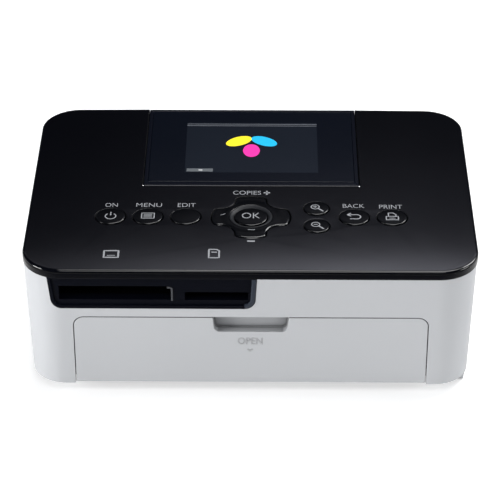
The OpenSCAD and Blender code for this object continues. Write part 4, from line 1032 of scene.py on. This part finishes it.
arrow = stroke([(-0.9, 0.6), (0, -0.5), (0.9, 0.6)], 0.5, thick=0.24)
# OPEN and its arrow are coloured darker than the door: painted shade of the embossing
marksPiece("doorMarks", [(lettering("OPEN", 9.6, 3.2, 0.24), (0.1, 26.4)), (arrow, (0, 21.9))],
           onDoor, "paper_door", "embossedWhitePaintedShade")


def onBezel(points):
    # the sunk face of the card bezel
    return onDoor(points) + (0, frontWall["bezelSunk"], 0)


halfRound = [(math.cos(a), math.sin(a)) for a in np.linspace(0, math.pi, 9)]

# glossy rim down the right end of the bezel and round its lower corner, coloured lighter than the bezel as
# a painted highlight
edgeShape = {
    "top": (1.65, 55.9), "bend": (1.1, 46.2), "centre": (-2.1, 46.2), "radius": 3.2, "width": 1.8,
    "thick": 0.28, "root": -2.8,
}
edgeSection = halfRound + [(-1, edgeShape["root"]), (1, edgeShape["root"])]
edgeCorner = arc(edgeShape["centre"], edgeShape["radius"], 0, -90, 10)[1:]
edgePath = np.concatenate([[edgeShape["top"], edgeShape["bend"]], edgeCorner])
edge = stroke(edgePath, edgeShape["width"], thick=edgeShape["thick"], section=edgeSection)
marksPiece("bezelEdge", [(edge, (0, 0))], onDoor, "body", "bezelPaintedHighlight")

# rounded lip at the right end of the wide card slot, coloured lighter than the bezel as a painted
# highlight
lipShape = {
    "start": (-32.2, 51.55), "centre": (-31.3, 50.5), "radius": 1.05, "end": (-30.25, 45.5), "width": 0.8,
    "thick": 0.4,
}
lipCorner = arc(lipShape["centre"], lipShape["radius"], 90, 0, 8)
lipPath = np.concatenate([[lipShape["start"]], lipCorner, [lipShape["end"]]])
lip = stroke(lipPath, lipShape["width"], thick=lipShape["thick"], section=halfRound)
marksPiece("slotLipPaintedHighlight", [(lip, (0, 0))], onBezel, "body", "slotLipPaintedHighlight")
print("marks built")


# ---- studio ----

studio = {
    "sheen": (-0.16, 0.02), "sheenFront": (0.03, 0.03, 0.04), "reach": ((-4, 4), (-3, 6)),
    "floor": (0.80, 0.80, 0.80), "floorGlow": 0.48, "world": 0.035, "airColour": (0.80, 0.92, 1.25),
    "lights": [
        # place, aim, size, power
        ((0.20, 0.30, 1.10), (0.05, 0, 0.05), (0.8, 0.40), 6.5),
        ((0.74, 0.54, 0.92), (0.05, 0, 0.05), (0.5, 0.5), 8.0),
        ((-1.10, -0.42, 0.24), (0, 0, 0.03), (0.5, 0.4), 14.0),
        ((1.16, -0.34, 0.24), (0, 0, 0.03), (0.5, 0.4), 5.2),
        ((0.12, -0.85, 1.25), (0, 0, 0.03), (0.7, 0.5), 5.9),
    ],
}
# a card behind the printer that its gloss reflects: stops of height or x and brightness, whose product
# over the full brightness is the share of the tint
rearCard = {
    "y": 1.5, "x": (-0.9, 0.9), "z": (0.80, 1.40), "tint": (0.97, 0.98, 1.12), "full": 2.0,
    "rise": [
        (0.80, 0.02), (0.875, 0.025), (0.917, 0.035), (0.962, 0.085), (0.995, 0.10), (1.026, 0.125),
        (1.050, 0.14), (1.064, 0.165), (1.074, 0.36), (1.083, 1.8), (1.12, 2.0), (1.20, 0.3), (1.40, 0.2),
    ],
    "across": [
        (-0.9, 0.12), (-0.26, 0.2), (-0.20, 0.30), (-0.10, 0.58), (0.0, 0.84), (0.10, 1.0), (0.15, 1.05),
        (0.20, 0.95), (0.26, 0.85), (0.9, 0.7),
    ],
}


black = (0, 0, 0, 1)
white = (1, 1, 1, 1)
view = {"lens": 167.73, "sensor": 36, "clipEnd": 50, "place": (0.00593, -0.81242, 0.55111), "tilt": 57.271,
        "turn": 0.452}


def areaLight(name, place, aim, size, power):
    light = bpy.data.lights.new(name, "AREA")
    light.shape, light.size, light.size_y, light.energy = "RECTANGLE", size[0], size[1], power
    holder = bpy.data.objects.new(name, light)
    bpy.context.scene.collection.objects.link(holder)
    holder.location = place
    holder.rotation_euler = (Vector(aim) - Vector(place)).to_track_quat("-Z", "Y").to_euler()


def stagePlane(name, corners, material):
    mesh = bpy.data.meshes.new(name)
    mesh.from_pydata(corners, [], [(0, 1, 2, 3)])
    mesh.materials.append(material)
    plane = bpy.data.objects.new(name, mesh)
    bpy.context.scene.collection.objects.link(plane)
    return plane


def levelPlane(name, z, material):
    (x0, x1), (y0, y1) = studio["reach"]
    return stagePlane(name, [(x0, y0, z), (x1, y0, z), (x1, y1, z), (x0, y1, z)], material)


def buildRearCard():
    (x0, x1), (z0, z1), y = rearCard["x"], rearCard["z"], rearCard["y"]
    glow = Finish("cardGlow")
    x, _, z = glow.axes()

    def stepped(value, stops, low, high):
        levels = [((at - low) / (high - low), (level,) * 3) for at, level in stops]
        ramp = glow.node("ShaderNodeValToRGB", {"stops": levels}, {0: (value - low) / (high - low)})
        return Wire(glow, ramp.outputs[0])

    level = stepped(z, rearCard["rise"], z0, z1) * stepped(x, rearCard["across"], x0, x1)
    shown = glow.mix(level * (1 / rearCard["full"]), black, colour(rearCard["tint"]))
    glow.set(Base_Color=black, Roughness=1.0, Emission_Color=shown, Emission_Strength=rearCard["full"])
    card = stagePlane("rearCard", [(x0, y, z0), (x1, y, z0), (x1, y, z1), (x0, y, z1)], glow.material)
    card.visible_camera = False


def buildFloor():
    paper = Finish("floorPaper")
    paper.set(Base_Color=paper.mix(paper.noise(3), colour(studio["floor"], 0.99), colour(studio["floor"])),
              Roughness=0.9, Emission_Color=white, Emission_Strength=studio["floorGlow"])
    floor = levelPlane("floor", 0, paper.material)
    floor.visible_glossy = False
    # what the gloss of the walls sees of the table: dark in front, white at the sides and behind
    sheen = Finish("floorSheen")
    near, far = studio["sheen"]
    level = sheen.clamp((sheen.axes()[1] - near) / (far - near))
    shown = sheen.mix(level, colour(studio["sheenFront"]), white)
    sheen.set(Base_Color=black, Roughness=1.0, Emission_Color=shown, Emission_Strength=1.0)
    mirror = levelPlane("floorSheen", -0.001, sheen.material)
    mirror.visible_camera = False
    mirror.visible_diffuse = False
    mirror.visible_shadow = False
    mirror.visible_transmission = False


def buildCamera():
    lens = bpy.data.cameras.new("camera")
    lens.sensor_width = view["sensor"]
    lens.lens = view["lens"]
    lens.clip_end = view["clipEnd"]
    camera = bpy.data.objects.new("camera", lens)
    bpy.context.scene.collection.objects.link(camera)
    camera.location = view["place"]
    camera.rotation_euler = (math.radians(view["tilt"]), 0, math.radians(view["turn"]))
    bpy.context.scene.camera = camera


def buildStudio():
    for k, (place, aim, size, power) in enumerate(studio["lights"]):
        areaLight("softbox%d" % k, place, aim, size, power)
    buildRearCard()
    world = bpy.data.worlds.new("studioAir")
    bpy.context.scene.world = world
    world.use_nodes = True
    back = world.node_tree.nodes["Background"]
    back.inputs[0].default_value = colour(studio["airColour"])
    back.inputs[1].default_value = studio["world"]
    buildFloor()
    buildCamera()
    bpy.context.scene.view_settings.view_transform = "Standard"


buildStudio()
print("studio built")
